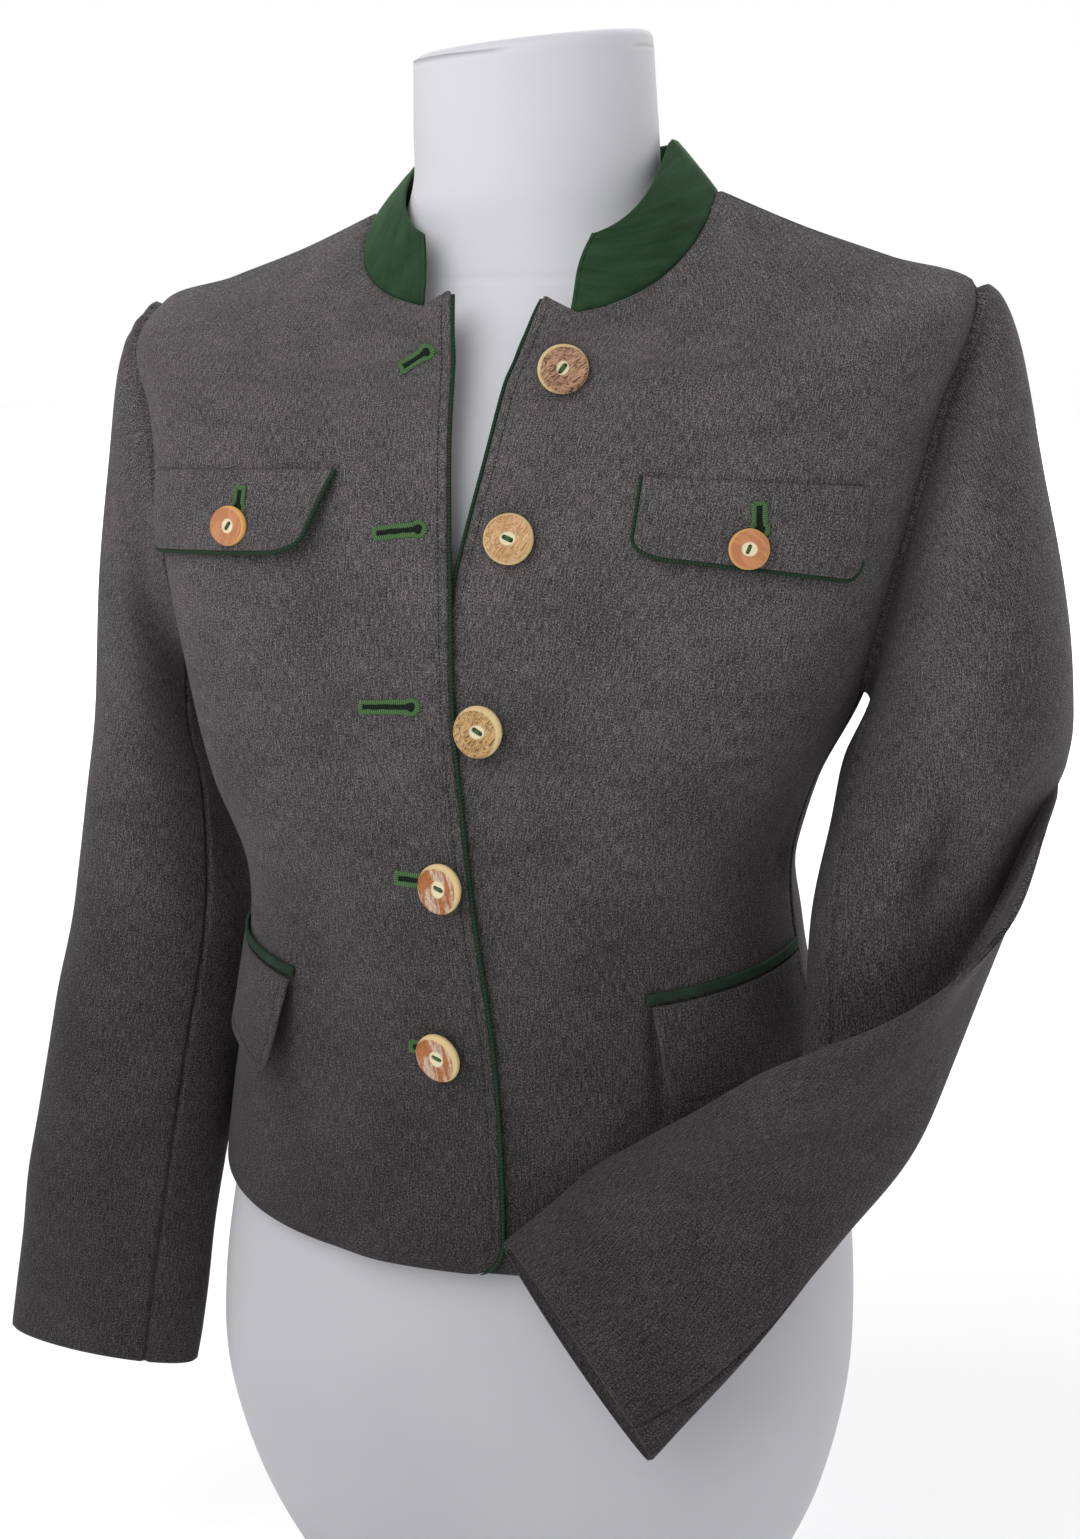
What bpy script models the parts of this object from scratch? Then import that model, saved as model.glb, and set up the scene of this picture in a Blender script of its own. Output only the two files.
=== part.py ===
"""Short fitted Tyrolean jacket with a stand collar, on a limbless dress form.

Metres, +Z up. The front faces -Y and the wearer's left is +X. The origin is the
centre of the form's flat underside. Heights in the tables are measured from the waist.
Every cloth piece is a sheet with its own wall, cut at the real seams.
"""
import math
from collections import namedtuple

import bmesh
import bpy
import numpy as np
from mathutils import Matrix, Vector

# ---- driving dimensions -------------------------------------------------------
WAIST = 0.390              # height of the waist above the form's underside
CLOTH = 0.0018             # wall of the loden
GREEN_CLOTH = 0.0022       # wall of the felted collar
SEAM_GAP = 0.0005          # clear space between neighbouring pieces at a seam
LAP_LIFT = 0.0034          # how far the upper front stands over the lower one
ON_PANEL = 0.0009          # clear space under a flap or welt
PIPING_RADIUS = 0.0009
BUTTON_RADIUS = 0.0127
BUTTON_THICKNESS = 0.0042
FLAP_BUTTON_RADIUS = 0.0100
FLAP_BUTTON_THICKNESS = 0.0036
ARMPIT_ROW, SHOULDER_ROW, NECK_ROW = 5.0, 8.0, 11.0

# ---- torso: a row for each section of the jacket's body, hem to neck ------------
TorsoRow = namedtuple("TorsoRow", "half_width side_y side_z front_y front_z back_y back_z "
                                  "front_square back_square")
TORSO = (
    TorsoRow(0.175, 0.006, -0.126, -0.127, -0.162, 0.139, -0.136, 2.25, 2.25),    # hem
    TorsoRow(0.166, -0.003, -0.086, -0.131, -0.102, 0.121, -0.090, 2.25, 2.25),
    TorsoRow(0.153, -0.016, -0.038, -0.137, -0.042, 0.101, -0.038, 2.25, 2.25),
    TorsoRow(0.145, -0.025, 0.028, -0.141, 0.024, 0.090, 0.028, 2.30, 2.20),      # waist
    TorsoRow(0.159, -0.018, 0.078, -0.138, 0.076, 0.094, 0.080, 2.70, 2.10),
    TorsoRow(0.177, -0.010, 0.126, -0.131, 0.122, 0.104, 0.134, 3.00, 2.20),      # armpit
    TorsoRow(0.198, 0.000, 0.200, -0.121, 0.190, 0.113, 0.198, 3.00, 2.30),       # chest
    TorsoRow(0.213, 0.012, 0.272, -0.108, 0.246, 0.114, 0.255, 2.80, 2.40),
    TorsoRow(0.225, 0.018, 0.323, -0.097, 0.279, 0.108, 0.292, 2.60, 2.40),       # shoulder tip
    TorsoRow(0.180, 0.014, 0.339, -0.091, 0.292, 0.099, 0.315, 2.50, 2.40),
    TorsoRow(0.136, 0.010, 0.354, -0.088, 0.305, 0.088, 0.338, 2.30, 2.30),
    TorsoRow(0.093, 0.005, 0.372, -0.084, 0.3155, 0.074, 0.360, 2.10, 2.10),      # neckline
)
COLLAR_TOP = TorsoRow(0.069, 0.004, 0.397, -0.080, 0.352, 0.066, 0.397, 2.60, 2.20)
# degrees from the middle to each end of the collar at its foot, and how much more at its top
COLLAR_RIGHT_END, COLLAR_LEFT_END, COLLAR_CORNER = (20.5, 2.5), (23.0, 8.0), 5.0
COLLAR_HUG, COLLAR_HUG_END = 0.07, math.radians(100)    # the right side leans in to the neck
LEFT_SWING = 0.0085        # how far the opened left front carries its neckline out and down
SIDE_SWAY = 0.006          # how far both sides stand towards the wearer's right above the waist
SWAY_HEIGHT = 0.076
SWAY_SPREAD = 0.035
SHOULDER_TILT = 0.0048     # the left shoulder stands higher than the middle, the right one lower

# breadth (x) of each front's edge at every torso row
RIGHT_EDGE = (0.025, 0.025, 0.023, 0.015, 0.008, 0.001, -0.004, -0.009, -0.0115, -0.013,
              -0.0145, -0.016)
LEFT_EDGE = (-0.029, -0.029, -0.029, -0.028, -0.021, -0.013, -0.001, 0.010, 0.0155, 0.019,
             0.0225, 0.0265)
HEM_CORNER = 0.018         # radius of the fronts' rounded lower corners
TIP_FROM_ROW = 10.2        # the tips rise between this row and the neckline
TIP_RISE = 0.010           # how far the fronts' top corners stand above the notch

# reach of each armhole from the side line, in degrees: towards the front and the back
ArmholeReach = namedtuple("ArmholeReach", "front back")
ARMHOLES = {-1: ArmholeReach(24.0, 30.0), +1: ArmholeReach(6.0, 36.0)}

# ---- sleeves: a row for each section, shoulder to cuff ---------------------------
# x counts outward from the middle of the body, z from the waist; the seams are angles in
# degrees round the sleeve, from its inner line (0) over its front line (90); tuck draws the
# cloth in between the front and outer lines, where the bent elbow folds
SleeveRow = namedtuple("SleeveRow", "inner front outer back tuck front_seam back_seam")
SLEEVE_RIGHT = (
    SleeveRow((0.184, 0.003, 0.112), (0.212, -0.058, 0.200), (0.240, 0.018, 0.276),
              (0.205, 0.078, 0.208), 0.0, 34, 245),
    SleeveRow((0.182, 0.000, 0.082), (0.214, -0.064, 0.145), (0.249, 0.008, 0.195),
              (0.214, 0.070, 0.150), 0.0, 34, 245),
    SleeveRow((0.173, 0.002, 0.050), (0.212, -0.062, 0.080), (0.254, 0.002, 0.095),
              (0.212, 0.064, 0.080), 0.0, 36, 245),
    SleeveRow((0.164, -0.003, -0.010), (0.215, -0.062, -0.010), (0.266, -0.012, -0.005),
              (0.213, 0.050, -0.010), 0.0, 42, 245),
    SleeveRow((0.171, -0.018, -0.090), (0.223, -0.067, -0.095), (0.279, -0.026, -0.085),
              (0.221, 0.027, -0.090), 0.0, 47, 245),
    SleeveRow((0.178, -0.036, -0.175), (0.233, -0.074, -0.175), (0.293, -0.034, -0.170),
              (0.234, 0.003, -0.175), 0.0, 49, 245),
    SleeveRow((0.186, -0.050, -0.262), (0.243, -0.077, -0.254), (0.303, -0.042, -0.256),
              (0.244, -0.018, -0.263), 0.0, 50, 245),
)
SLEEVE_LEFT = (
    SleeveRow((0.180, 0.004, 0.114), (0.213, -0.040, 0.200), (0.250, 0.020, 0.286),
              (0.210, 0.085, 0.205), 0.0, 42, 250),
    SleeveRow((0.168, -0.004, 0.094), (0.222, -0.054, 0.140), (0.270, 0.010, 0.185),
              (0.225, 0.073, 0.150), 0.0, 42, 250),
    SleeveRow((0.1645, -0.022, 0.062), (0.225, -0.074, 0.080), (0.279, 0.000, 0.120),
              (0.228, 0.050, 0.090), 0.0, 41, 248),
    SleeveRow((0.1610, -0.042, 0.016), (0.218, -0.086, 0.018), (0.278, -0.006, 0.096),
              (0.224, 0.022, 0.022), 0.0, 48, 240),
    SleeveRow((0.1620, -0.066, -0.045), (0.228, -0.077, -0.022), (0.276, -0.009, 0.087),
              (0.218, -0.002, -0.025), 0.012, 40, 232),
    SleeveRow((0.174, -0.121, -0.040), (0.258, -0.108, 0.017), (0.274, -0.011, 0.074),
              (0.216, -0.028, -0.052), 0.012, 12, 226),
    SleeveRow((0.157, -0.125, -0.046), (0.233, -0.122, -0.018), (0.268, -0.025, 0.047),
              (0.207, -0.058, -0.073), 0.006, -10, 218),
    SleeveRow((0.123, -0.130, -0.067), (0.203, -0.142, -0.056), (0.249, -0.050, -0.011),
              (0.185, -0.093, -0.096), 0.0, -18, 210),
    SleeveRow((0.095, -0.132, -0.0845), (0.177, -0.152, -0.084), (0.226, -0.085, -0.083),
              (0.160, -0.116, -0.118), 0.0, -20, 200),
    SleeveRow((0.073, -0.134, -0.099), (0.145, -0.159, -0.110), (0.195, -0.118, -0.128),
              (0.128, -0.130, -0.136), 0.0, -20, 186),
    SleeveRow((0.052, -0.137, -0.119), (0.111, -0.164, -0.148), (0.155, -0.143, -0.183),
              (0.098, -0.137, -0.160), 0.0, -20, 162),
    SleeveRow((0.029, -0.139, -0.140), (0.079, -0.165, -0.182), (0.111, -0.155, -0.237),
              (0.065, -0.140, -0.194), 0.0, -20, 134),
)
SLEEVE_CLEAR = 0.0024      # how far the sleeve starts off the armhole's edge
SLEEVE_HEAD = 0.0035       # how far the sleeve's head stands out before it falls

# ---- dress form: a row for each level section -------------------------------------
FormRow = namedtuple("FormRow", "z half_width side_y front_y back_y front_square back_square")
FORM = (
    FormRow(0.000, 0.106, 0.000, -0.080, 0.080, 2.2, 2.2),
    FormRow(0.004, 0.111, 0.000, -0.084, 0.084, 2.2, 2.2),
    FormRow(0.035, 0.135, 0.000, -0.098, 0.100, 2.3, 2.1),
    FormRow(0.080, 0.1565, 0.000, -0.110, 0.113, 2.5, 2.0),
    FormRow(0.135, 0.1700, 0.000, -0.118, 0.121, 2.7, 2.0),
    FormRow(0.184, 0.1730, 0.000, -0.121, 0.125, 2.5, 2.0),
    FormRow(0.235, 0.1690, 0.003, -0.118, 0.126, 2.35, 2.0),
    FormRow(0.290, 0.1570, -0.003, -0.122, 0.110, 2.2, 2.2),
    FormRow(0.350, 0.1445, -0.015, -0.128, 0.092, 2.2, 2.2),
    FormRow(0.418, 0.1370, -0.024, -0.132, 0.079, 2.2, 2.2),
    FormRow(0.468, 0.1465, -0.017, -0.128, 0.082, 2.3, 2.3),
    FormRow(0.516, 0.1620, -0.010, -0.121, 0.090, 2.4, 2.4),
    FormRow(0.585, 0.1780, 0.000, -0.109, 0.101, 2.6, 2.6),
    FormRow(0.635, 0.1820, 0.008, -0.095, 0.100, 2.5, 2.5),
    FormRow(0.672, 0.1740, 0.012, -0.079, 0.089, 2.4, 2.4),
    FormRow(0.700, 0.1480, 0.011, -0.068, 0.076, 2.3, 2.3),
    FormRow(0.722, 0.1120, 0.008, -0.060, 0.066, 2.1, 2.1),
    FormRow(0.744, 0.0800, 0.003, -0.058, 0.058, 2.0, 2.0),
    FormRow(0.768, 0.0655, -0.002, -0.061, 0.054, 2.0, 2.0),
    FormRow(0.800, 0.0630, -0.006, -0.066, 0.052, 2.0, 2.0),
    FormRow(0.8335, 0.0610, -0.010, -0.071, 0.050, 2.0, 2.0),
)
NECK_CAP_SLOPE = (0.100, 0.055)      # rise of the cap per metre towards +X and +Y
NECK_CAP_ROUND = 0.006

# ---- small pieces -------------------------------------------------------------------
# flap corners as (angle round the body in degrees, height from the waist)
FlapCut = namedtuple("FlapCut", "inner_top outer_top inner_bottom outer_bottom lift inner_lift")
FLAPS = {
    "chest_flap_left": FlapCut((17.2, 0.238), (61.4, 0.233), (16.6, 0.201), (65.7, 0.188),
                               0.0010, 0.0015),
    "chest_flap_right": FlapCut((-11.8, 0.238), (-58.0, 0.234), (-15.4, 0.197), (-66.0, 0.193),
                                0.0015, 0.0060),
    "hip_flap_left": FlapCut((38.5, -0.0195), (88.0, -0.0065), (38.5, -0.073), (86.0, -0.056),
                             0.0015, 0.0020),
    "hip_flap_right": FlapCut((-35.0, -0.0195), (-86.0, -0.0045), (-35.0, -0.072), (-84.0, -0.056),
                              0.0030, 0.0110),
}
CORNER_STEPS = np.array([0.0, 0.012, 0.045, 0.11])     # columns round a flap's lower corner
CORNER_DEPTH = 0.22        # depth of that corner, as a share of the flap's own depth
OVER_LAP = 0.4             # share of the fronts' lap that lifts the right flaps' inner ends
# welts lie over the top edge of the hip flaps: inner end, outer end (angle, height), width
WELT_WIDTH = 0.0055
WELTS = {"hip_welt_left": ((37.5, -0.0185), (89.0, -0.0055)),
         "hip_welt_right": ((-34.5, -0.0185), (-87.0, -0.0035))}
# a button's sunk middle and rim as shares of its thickness, the others as shares of its radius
BUTTON_SUNK, BUTTON_RIM = 0.28, 0.22
BUTTON_WELL = (0.38, 0.52)
THREAD_HOLE = (0.215, 0.085)
# centres of the buttons: breadth, height from the waist, node name
FRONT_BUTTONS = ((0.045, 0.2865), (0.026, 0.207), (0.017, 0.115), (0.0005, 0.039), (-0.0025, -0.046))
LAST_BELOW_LAP = 2         # the first two buttons stand on the lower front, beside the lap
BUTTON_STAND = 0.0021      # from the cloth to a button's back, on the fronts
FLAP_BUTTON_STAND = 2 * CLOTH + 0.0030
FLAP_BUTTONS = {"flap_button_left": (0.140, 0.204), "flap_button_right": (-0.1235, 0.208)}


def table_at(table, v):
    """Rows of a table blended by a Catmull-Rom curve; v counts rows from 0."""
    rows = np.asarray(table, float)
    v = np.clip(np.asarray(v, float), 0.0, len(rows) - 1.0)
    i = np.minimum(v.astype(int), len(rows) - 2)
    t = (v - i).reshape(v.shape + (1,) * (rows.ndim - 1))
    p0, p1 = rows[np.maximum(i - 1, 0)], rows[i]
    p2, p3 = rows[i + 1], rows[np.minimum(i + 2, len(rows) - 1)]
    return 0.5 * (2 * p1 + (p2 - p0) * t + (2 * p0 - 5 * p1 + 4 * p2 - p3) * t ** 2
                  + (3 * p1 - p0 - 3 * p2 + p3) * t ** 3)


def section(row, theta):
    """Points of one body section: a superellipse whose front, side and back have own heights."""
    width, side_y, side_z, front_y, front_z, back_y, back_z, front_n, back_n = np.moveaxis(row, -1, 0)
    front = np.cos(theta) > 0
    n = np.where(front, front_n, back_n)
    end_y, end_z = np.where(front, front_y, back_y), np.where(front, front_z, back_z)
    across = np.sign(np.sin(theta)) * np.abs(np.sin(theta)) ** (2 / n)
    along = np.abs(np.cos(theta)) ** (2 / n)
    return np.stack([width * across, side_y + (end_y - side_y) * along,
                     WAIST + side_z + (end_z - side_z) * along], axis=-1)


def torso(theta, v):
    """The jacket's outer surface: theta runs from the front towards the wearer's left."""
    theta, v = np.broadcast_arrays(np.asarray(theta, float), np.asarray(v, float))
    swing = smooth((v - SHOULDER_ROW) / (NECK_ROW - SHOULDER_ROW))
    tilt = smooth(v - SHOULDER_ROW + 1)
    place = section(table_at(TORSO, v), theta)
    near = np.exp(-((place[..., 2] - WAIST - SWAY_HEIGHT) / SWAY_SPREAD) ** 2)
    place[..., 0] -= SIDE_SWAY * near * np.sin(theta) ** 2
    return place + shift_of(theta, swing, tilt)


def shift_of(theta, swing, tilt):
    """Offset of the neck and shoulders: the swing of the left front and the shoulders' tilt."""
    opened = LEFT_SWING * np.clip(np.sin(2 * theta), 0, 1) * (np.cos(theta) > 0) * swing
    raised = SHOULDER_TILT * np.sin(theta) * tilt
    return np.stack([opened, -opened, raised - opened], axis=-1)


def unit(vectors):
    """Vectors scaled to length one."""
    return vectors / np.linalg.norm(vectors, axis=-1, keepdims=True)


def normal_of(surface, round_it, along, lowest, highest):
    """Unit normal of a surface given as a function of its angle and its row number."""
    step = 0.02
    across = surface(round_it + step, along) - surface(round_it - step, along)
    upward = (surface(round_it, np.minimum(along + step, highest))
              - surface(round_it, np.maximum(along - step, lowest)))
    return unit(np.cross(across, upward))


def torso_normal(theta, v):
    """Outward unit normal of the torso surface."""
    return normal_of(torso, theta, v, 0, NECK_ROW)


def angle_at(x, v):
    """Angle round the front at which the section at v has breadth x."""
    row = table_at(TORSO, v)
    reach = np.clip(np.abs(x) / row[..., 0], 0, 1) ** (row[..., 7] / 2)
    return np.sign(x) * np.arcsin(reach)


def row_at(height, theta=None, x=None):
    """Row number where the surface reaches a height above the waist, at an angle or a breadth."""
    low = np.zeros(np.broadcast(height, 0.0 if theta is None else theta).shape)
    high = low + NECK_ROW
    for _ in range(30):
        middle = (low + high) / 2
        angle = angle_at(x, middle) if theta is None else theta
        above = torso(angle, middle)[..., 2] > WAIST + height
        low, high = np.where(above, low, middle), np.where(above, middle, high)
    return (low + high) / 2


def smooth(t):
    """Smooth step from 0 to 1."""
    t = np.clip(t, 0.0, 1.0)
    return t * t * (3 - 2 * t)


# ---- making objects --------------------------------------------------------------------
def clear_scene():
    """Remove every object, and the meshes, curves and materials left without users."""
    for obj in list(bpy.data.objects):
        bpy.data.objects.remove(obj, do_unlink=True)
    for store in (bpy.data.meshes, bpy.data.curves, bpy.data.materials):
        for block in list(store):
            if block.users == 0:
                store.remove(block)


def make_collection(name):
    """A collection linked to the scene."""
    collection = bpy.data.collections.new(name)
    bpy.context.scene.collection.children.link(collection)
    return collection


def make_material(name, colour, roughness, metallic=0.0):
    """A Principled material of one colour."""
    material = bpy.data.materials.new(name)
    material.use_nodes = True
    shader = material.node_tree.nodes["Principled BSDF"]
    shader.inputs["Base Color"].default_value = (*colour, 1.0)
    shader.inputs["Roughness"].default_value = roughness
    shader.inputs["Metallic"].default_value = metallic
    material.diffuse_color = (*colour, 1.0)
    return material


def add_object(name, data, material, collection):
    """An object at the origin that holds the given mesh or curve."""
    obj = bpy.data.objects.new(name, data)
    data.materials.append(material)
    collection.objects.link(obj)
    return obj


def grid_faces(rows, columns, closed=False):
    """Quads of a grid of points stored row by row; closed joins the last column to the first."""
    i, j = np.meshgrid(np.arange(rows - 1), np.arange(columns if closed else columns - 1), indexing="ij")
    k = (j + 1) % columns
    return np.stack([i * columns + j, i * columns + k, (i + 1) * columns + k,
                     (i + 1) * columns + j], axis=-1).reshape(-1, 4).tolist()


def sheet(name, points, thickness, material, collection, inwards=False):
    """A cloth sheet: the grid is its inner face, or its outer one if the wall goes inwards."""
    rows, columns = points.shape[:2]
    mesh = bpy.data.meshes.new(name)
    mesh.from_pydata(points.reshape(-1, 3).tolist(), [], grid_faces(rows, columns))
    mesh.shade_smooth()
    obj = add_object(name, mesh, material, collection)
    wall = obj.modifiers.new("wall", "SOLIDIFY")
    wall.thickness = thickness
    wall.offset = -1.0 if inwards else 1.0
    return obj


def lofted_solid(name, rings, material, collection):
    """A closed solid through level rings, with a flat face at each end."""
    rows, columns = rings.shape[:2]
    count = rows * columns
    faces = grid_faces(rows, columns, closed=True)
    faces.append(list(range(columns))[::-1])
    faces.append(list(range(count - columns, count)))
    mesh = bpy.data.meshes.new(name)
    mesh.from_pydata(rings.reshape(-1, 3).tolist(), [], faces)
    mesh.shade_smooth()
    return add_object(name, mesh, material, collection)


def cord(name, points, radius, material, collection):
    """A thin round piping along a line of points."""
    curve = bpy.data.curves.new(name, "CURVE")
    curve.dimensions = "3D"
    curve.bevel_depth, curve.bevel_resolution = radius, 1
    curve.use_fill_caps = True
    spline = curve.splines.new("POLY")
    spline.points.add(len(points) - 1)
    spline.points.foreach_set("co", np.c_[points, np.ones(len(points))].ravel())
    return add_object(name, curve, material, collection)


# ---- jacket body --------------------------------------------------------------------------
def side_limit(side, v, towards_front):
    """Angle of the side seam, armhole edge or shoulder seam that ends a panel at row v."""
    reach = ARMHOLES[side]
    extent = math.radians(reach.front if towards_front else reach.back)
    share = np.clip((v - ARMPIT_ROW) / (SHOULDER_ROW - ARMPIT_ROW), 0, 1)
    bulge = np.sin(math.pi * share) ** 0.6
    sign = -1 if towards_front else 1
    return math.pi / 2 + sign * extent * bulge


def panel_rows():
    """Row numbers of the panels' grids, closer together at the hem and round the armhole."""
    below = np.array([0, 0.03, 0.09, 0.18, 0.32, 0.7, 1.2, 1.7, 2.2, 2.7, 3.1, 3.5, 4.0, 4.5])
    share = (1 - np.cos(np.linspace(0, math.pi, 11))) / 2
    armhole = ARMPIT_ROW + share * (SHOULDER_ROW - ARMPIT_ROW)
    above = np.array([8.5, 9.2, 9.9, 10.5, 11.0])
    return np.concatenate([below, armhole, above])


def seam_inset(theta, v, away):
    """Points moved half a seam gap along the surface, away from the seam."""
    points = torso(theta, v)
    towards = unit(torso(theta + away * 0.02, v) - points)
    return points + towards * SEAM_GAP / 2


def edge_breadth(side, v):
    """Breadth of the front edge at row v, turning in at the rounded hem corner."""
    table = LEFT_EDGE if side > 0 else RIGHT_EDGE
    breadth = table_at(np.asarray(table)[:, None], v)[..., 0]
    height = torso(0.0, v)[..., 2] - torso(0.0, 0.0)[..., 2]
    share = np.clip(1 - height / HEM_CORNER, 0, 1)
    return breadth + side * HEM_CORNER * (1 - np.sqrt(1 - share ** 2))


def front_points(side, columns=9):
    """Inner face of a front: from its free edge to the side seam, armhole and shoulder seam."""
    v = panel_rows()[:, None]
    start = angle_at(edge_breadth(side, v), v)
    end = side * side_limit(side, v, True)
    share = np.linspace(0, 1, columns) ** 1.15
    theta = start + (end - start) * share
    points = torso(theta, v)
    points[:, -1] = seam_inset(theta[:, -1], v[:, 0], -side)
    lift = np.full(theta.shape, -CLOTH)
    if side < 0:
        lift += LAP_LIFT * smooth((points[..., 0] + 0.075) / 0.035) * (theta > -1.0)
    points = points + torso_normal(theta, v) * lift[..., None]
    tip = np.clip(1 - share / share[1], 0, 1) * smooth((v - TIP_FROM_ROW) / (NECK_ROW - TIP_FROM_ROW))
    points[..., 2] += TIP_RISE * tip
    return points if side > 0 else points[:, ::-1]


def back_points(side, columns=9):
    """Inner face of half the back: from side seam, armhole and shoulder seam to centre seam."""
    v = panel_rows()[:, None]
    start = side * side_limit(side, v, False)
    end = side * math.pi
    share = np.linspace(0, 1, columns)
    theta = start + (end - start) * share
    points = torso(theta, v)
    points[:, 0] = seam_inset(theta[:, 0], v[:, 0], side)
    points = points - torso_normal(theta, v) * CLOTH
    points[:, -1, 0] = side * SEAM_GAP / 2
    return points if side > 0 else points[:, ::-1]


def edge_line(side):
    """Line just outside a front's free edge, at the middle of its wall."""
    v = panel_rows()
    theta = angle_at(edge_breadth(side, v), v)
    edge, normal = torso(theta, v), torso_normal(theta, v)
    outward = unit(np.cross(normal, np.gradient(edge, axis=0))) * side
    lift = (LAP_LIFT if side < 0 else 0.0) - CLOTH / 2
    line = edge + outward * (SEAM_GAP + PIPING_RADIUS) + normal * lift
    line[:, 2] += TIP_RISE * smooth((v - TIP_FROM_ROW) / (NECK_ROW - TIP_FROM_ROW))
    return line[2:]


# ---- sleeves --------------------------------------------------------------------------------
def armhole_point(side, phi):
    """Point of the armhole's edge and its outward normal; phi = 0 at the armpit, 90 deg in front."""
    share = (1 - np.cos(phi)) / 2
    v = ARMPIT_ROW + share * (SHOULDER_ROW - ARMPIT_ROW)
    theta = np.where(np.sin(phi) > 0, side_limit(side, v, True), side_limit(side, v, False)) * side
    return torso(theta, v), torso_normal(theta, v)


def sleeve_ring(rails, side, phi):
    """Points round a sleeve: an ellipse through its four lines, bent to meet them all."""
    inner, front, outer, back = (rails[..., 3 * k:3 * k + 3] for k in range(4))
    centre = (inner + front + outer + back) / 4
    points = (centre + np.cos(phi)[..., None] * (inner - outer) / 2
              + np.sin(phi)[..., None] * (front - back) / 2
              + np.cos(2 * phi)[..., None] * (inner + outer - front - back) / 4)
    between = (np.cos(phi) < 0) & (np.sin(phi) > 0)
    drawn = rails[..., 12:13] * (np.sin(2 * phi) ** 2 * between)[..., None]
    points = points + drawn * unit(inner - outer)
    return points * (side, 1, 1) + (0, 0, WAIST)


def sleeve_points(side, phi, w):
    """Outer surface of a sleeve; row -1 is the armhole seam, row 0 the first section."""
    phi, w = np.broadcast_arrays(phi, w)
    body = sleeve_ring(table_at(sleeve_table(side), np.maximum(w, 0)), side, phi)
    hole, normal = armhole_point(side, phi)
    start = hole + normal * SLEEVE_CLEAR + (side * 0.001, 0, 0)
    share = smooth(w + 1)[..., None]
    head = SLEEVE_HEAD * np.sin(math.pi * share) * ((1 - np.cos(phi)) / 2)[..., None]
    return start * (1 - share) + body * share + head * unit(normal + (side, 0, 0))


def sleeve_table(side):
    """A sleeve's sections as plain rows: four points, the tuck, then the two seam angles."""
    rows = SLEEVE_LEFT if side > 0 else SLEEVE_RIGHT
    return np.array([np.hstack(row) for row in rows])


def sleeve_piece(side, under, columns, rows):
    """Grid of the top sleeve, or of the under sleeve, between the two seams."""
    table = sleeve_table(side)
    w = np.concatenate([[-1, -0.7, -0.35], np.linspace(0, len(table) - 1, rows)])[:, None]
    seams = np.radians(table_at(table, np.maximum(w, 0))[..., -2:])
    first, last = seams[..., 0], seams[..., 1]
    if under:
        first, last = last - 2 * math.pi, first
    phi = first + (last - first) * np.linspace(0, 1, columns)
    normal = normal_of(lambda a, b: sleeve_points(side, a, b), phi, w, -1, len(table) - 1) * -side
    points = sleeve_points(side, phi, w) - normal * CLOTH
    for column, neighbour in ((0, 1), (-1, -2)):
        points[:, column] += unit(points[:, neighbour] - points[:, column]) * SEAM_GAP
    return points if side < 0 else points[:, ::-1]


# ---- small pieces ------------------------------------------------------------------------------
def corner_cut(u, radius):
    """Share of a flap's depth left at u, with both lower corners rounded."""
    inner = np.clip((radius - u) / radius, 0, 1)
    outer = np.clip((u - 1 + radius) / radius, 0, 1)
    return 1 - CORNER_DEPTH * (2 - np.sqrt(1 - inner ** 2) - np.sqrt(1 - outer ** 2))


def flap_grid(cut, side, rows=4):
    """Points of a flap and their normals: the front's own, moved out, lifting towards the hem."""
    u = np.concatenate([CORNER_STEPS, np.linspace(0.2, 0.8, 7), 1 - CORNER_STEPS[::-1]])[None, :]
    t = np.linspace(0, 1, rows)[:, None] * corner_cut(u, CORNER_STEPS[-1])
    inner = np.array(cut.inner_top) + (np.array(cut.inner_bottom) - cut.inner_top) * t[..., None]
    outer = np.array(cut.outer_top) + (np.array(cut.outer_bottom) - cut.outer_top) * t[..., None]
    blend = inner * (1 - u[..., None]) + outer * u[..., None]
    theta, height = np.radians(blend[..., 0]), blend[..., 1]
    v = row_at(height, theta=theta)
    out = ON_PANEL + t * cut.lift + t * cut.inner_lift * np.clip(1 - u / 0.5, 0, 1) ** 2
    if side < 0:
        out = out + LAP_LIFT * OVER_LAP * np.clip(1 - u / OVER_LAP, 0, 1)
    normal = torso_normal(theta, v)
    return torso(theta, v) + normal * out[..., None], normal


def flap_points(cut, side):
    """Grid of a flap, turned so that its faces look outwards."""
    points, _ = flap_grid(cut, side)
    return points[::-1] if side > 0 else points[::-1, ::-1]


def flap_edge(cut, side):
    """Line just outside a flap's inner and lower edges, at the middle of its wall."""
    edge, normal = (np.concatenate([grid[:-1, 0], grid[-1]]) for grid in flap_grid(cut, side))
    outward = unit(np.cross(np.gradient(edge, axis=0), normal)) * side
    return edge + outward * (SEAM_GAP + PIPING_RADIUS) + normal * CLOTH / 2


def welt_points(ends, side, columns=9):
    """Grid of a hip welt: a narrow strip just over its flap's top edge."""
    inner, outer = (np.array(end) for end in ends)
    u = np.linspace(0, 1, columns)[None, :]
    rise = np.array([0.0, 1.0])[:, None] * WELT_WIDTH
    theta = np.radians(inner[0] + (outer[0] - inner[0]) * u) + 0 * rise
    height = inner[1] + (outer[1] - inner[1]) * u + rise
    v = row_at(height, theta=theta)
    points = torso(theta, v) + torso_normal(theta, v) * ON_PANEL
    return points if side > 0 else points[:, ::-1]


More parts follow.
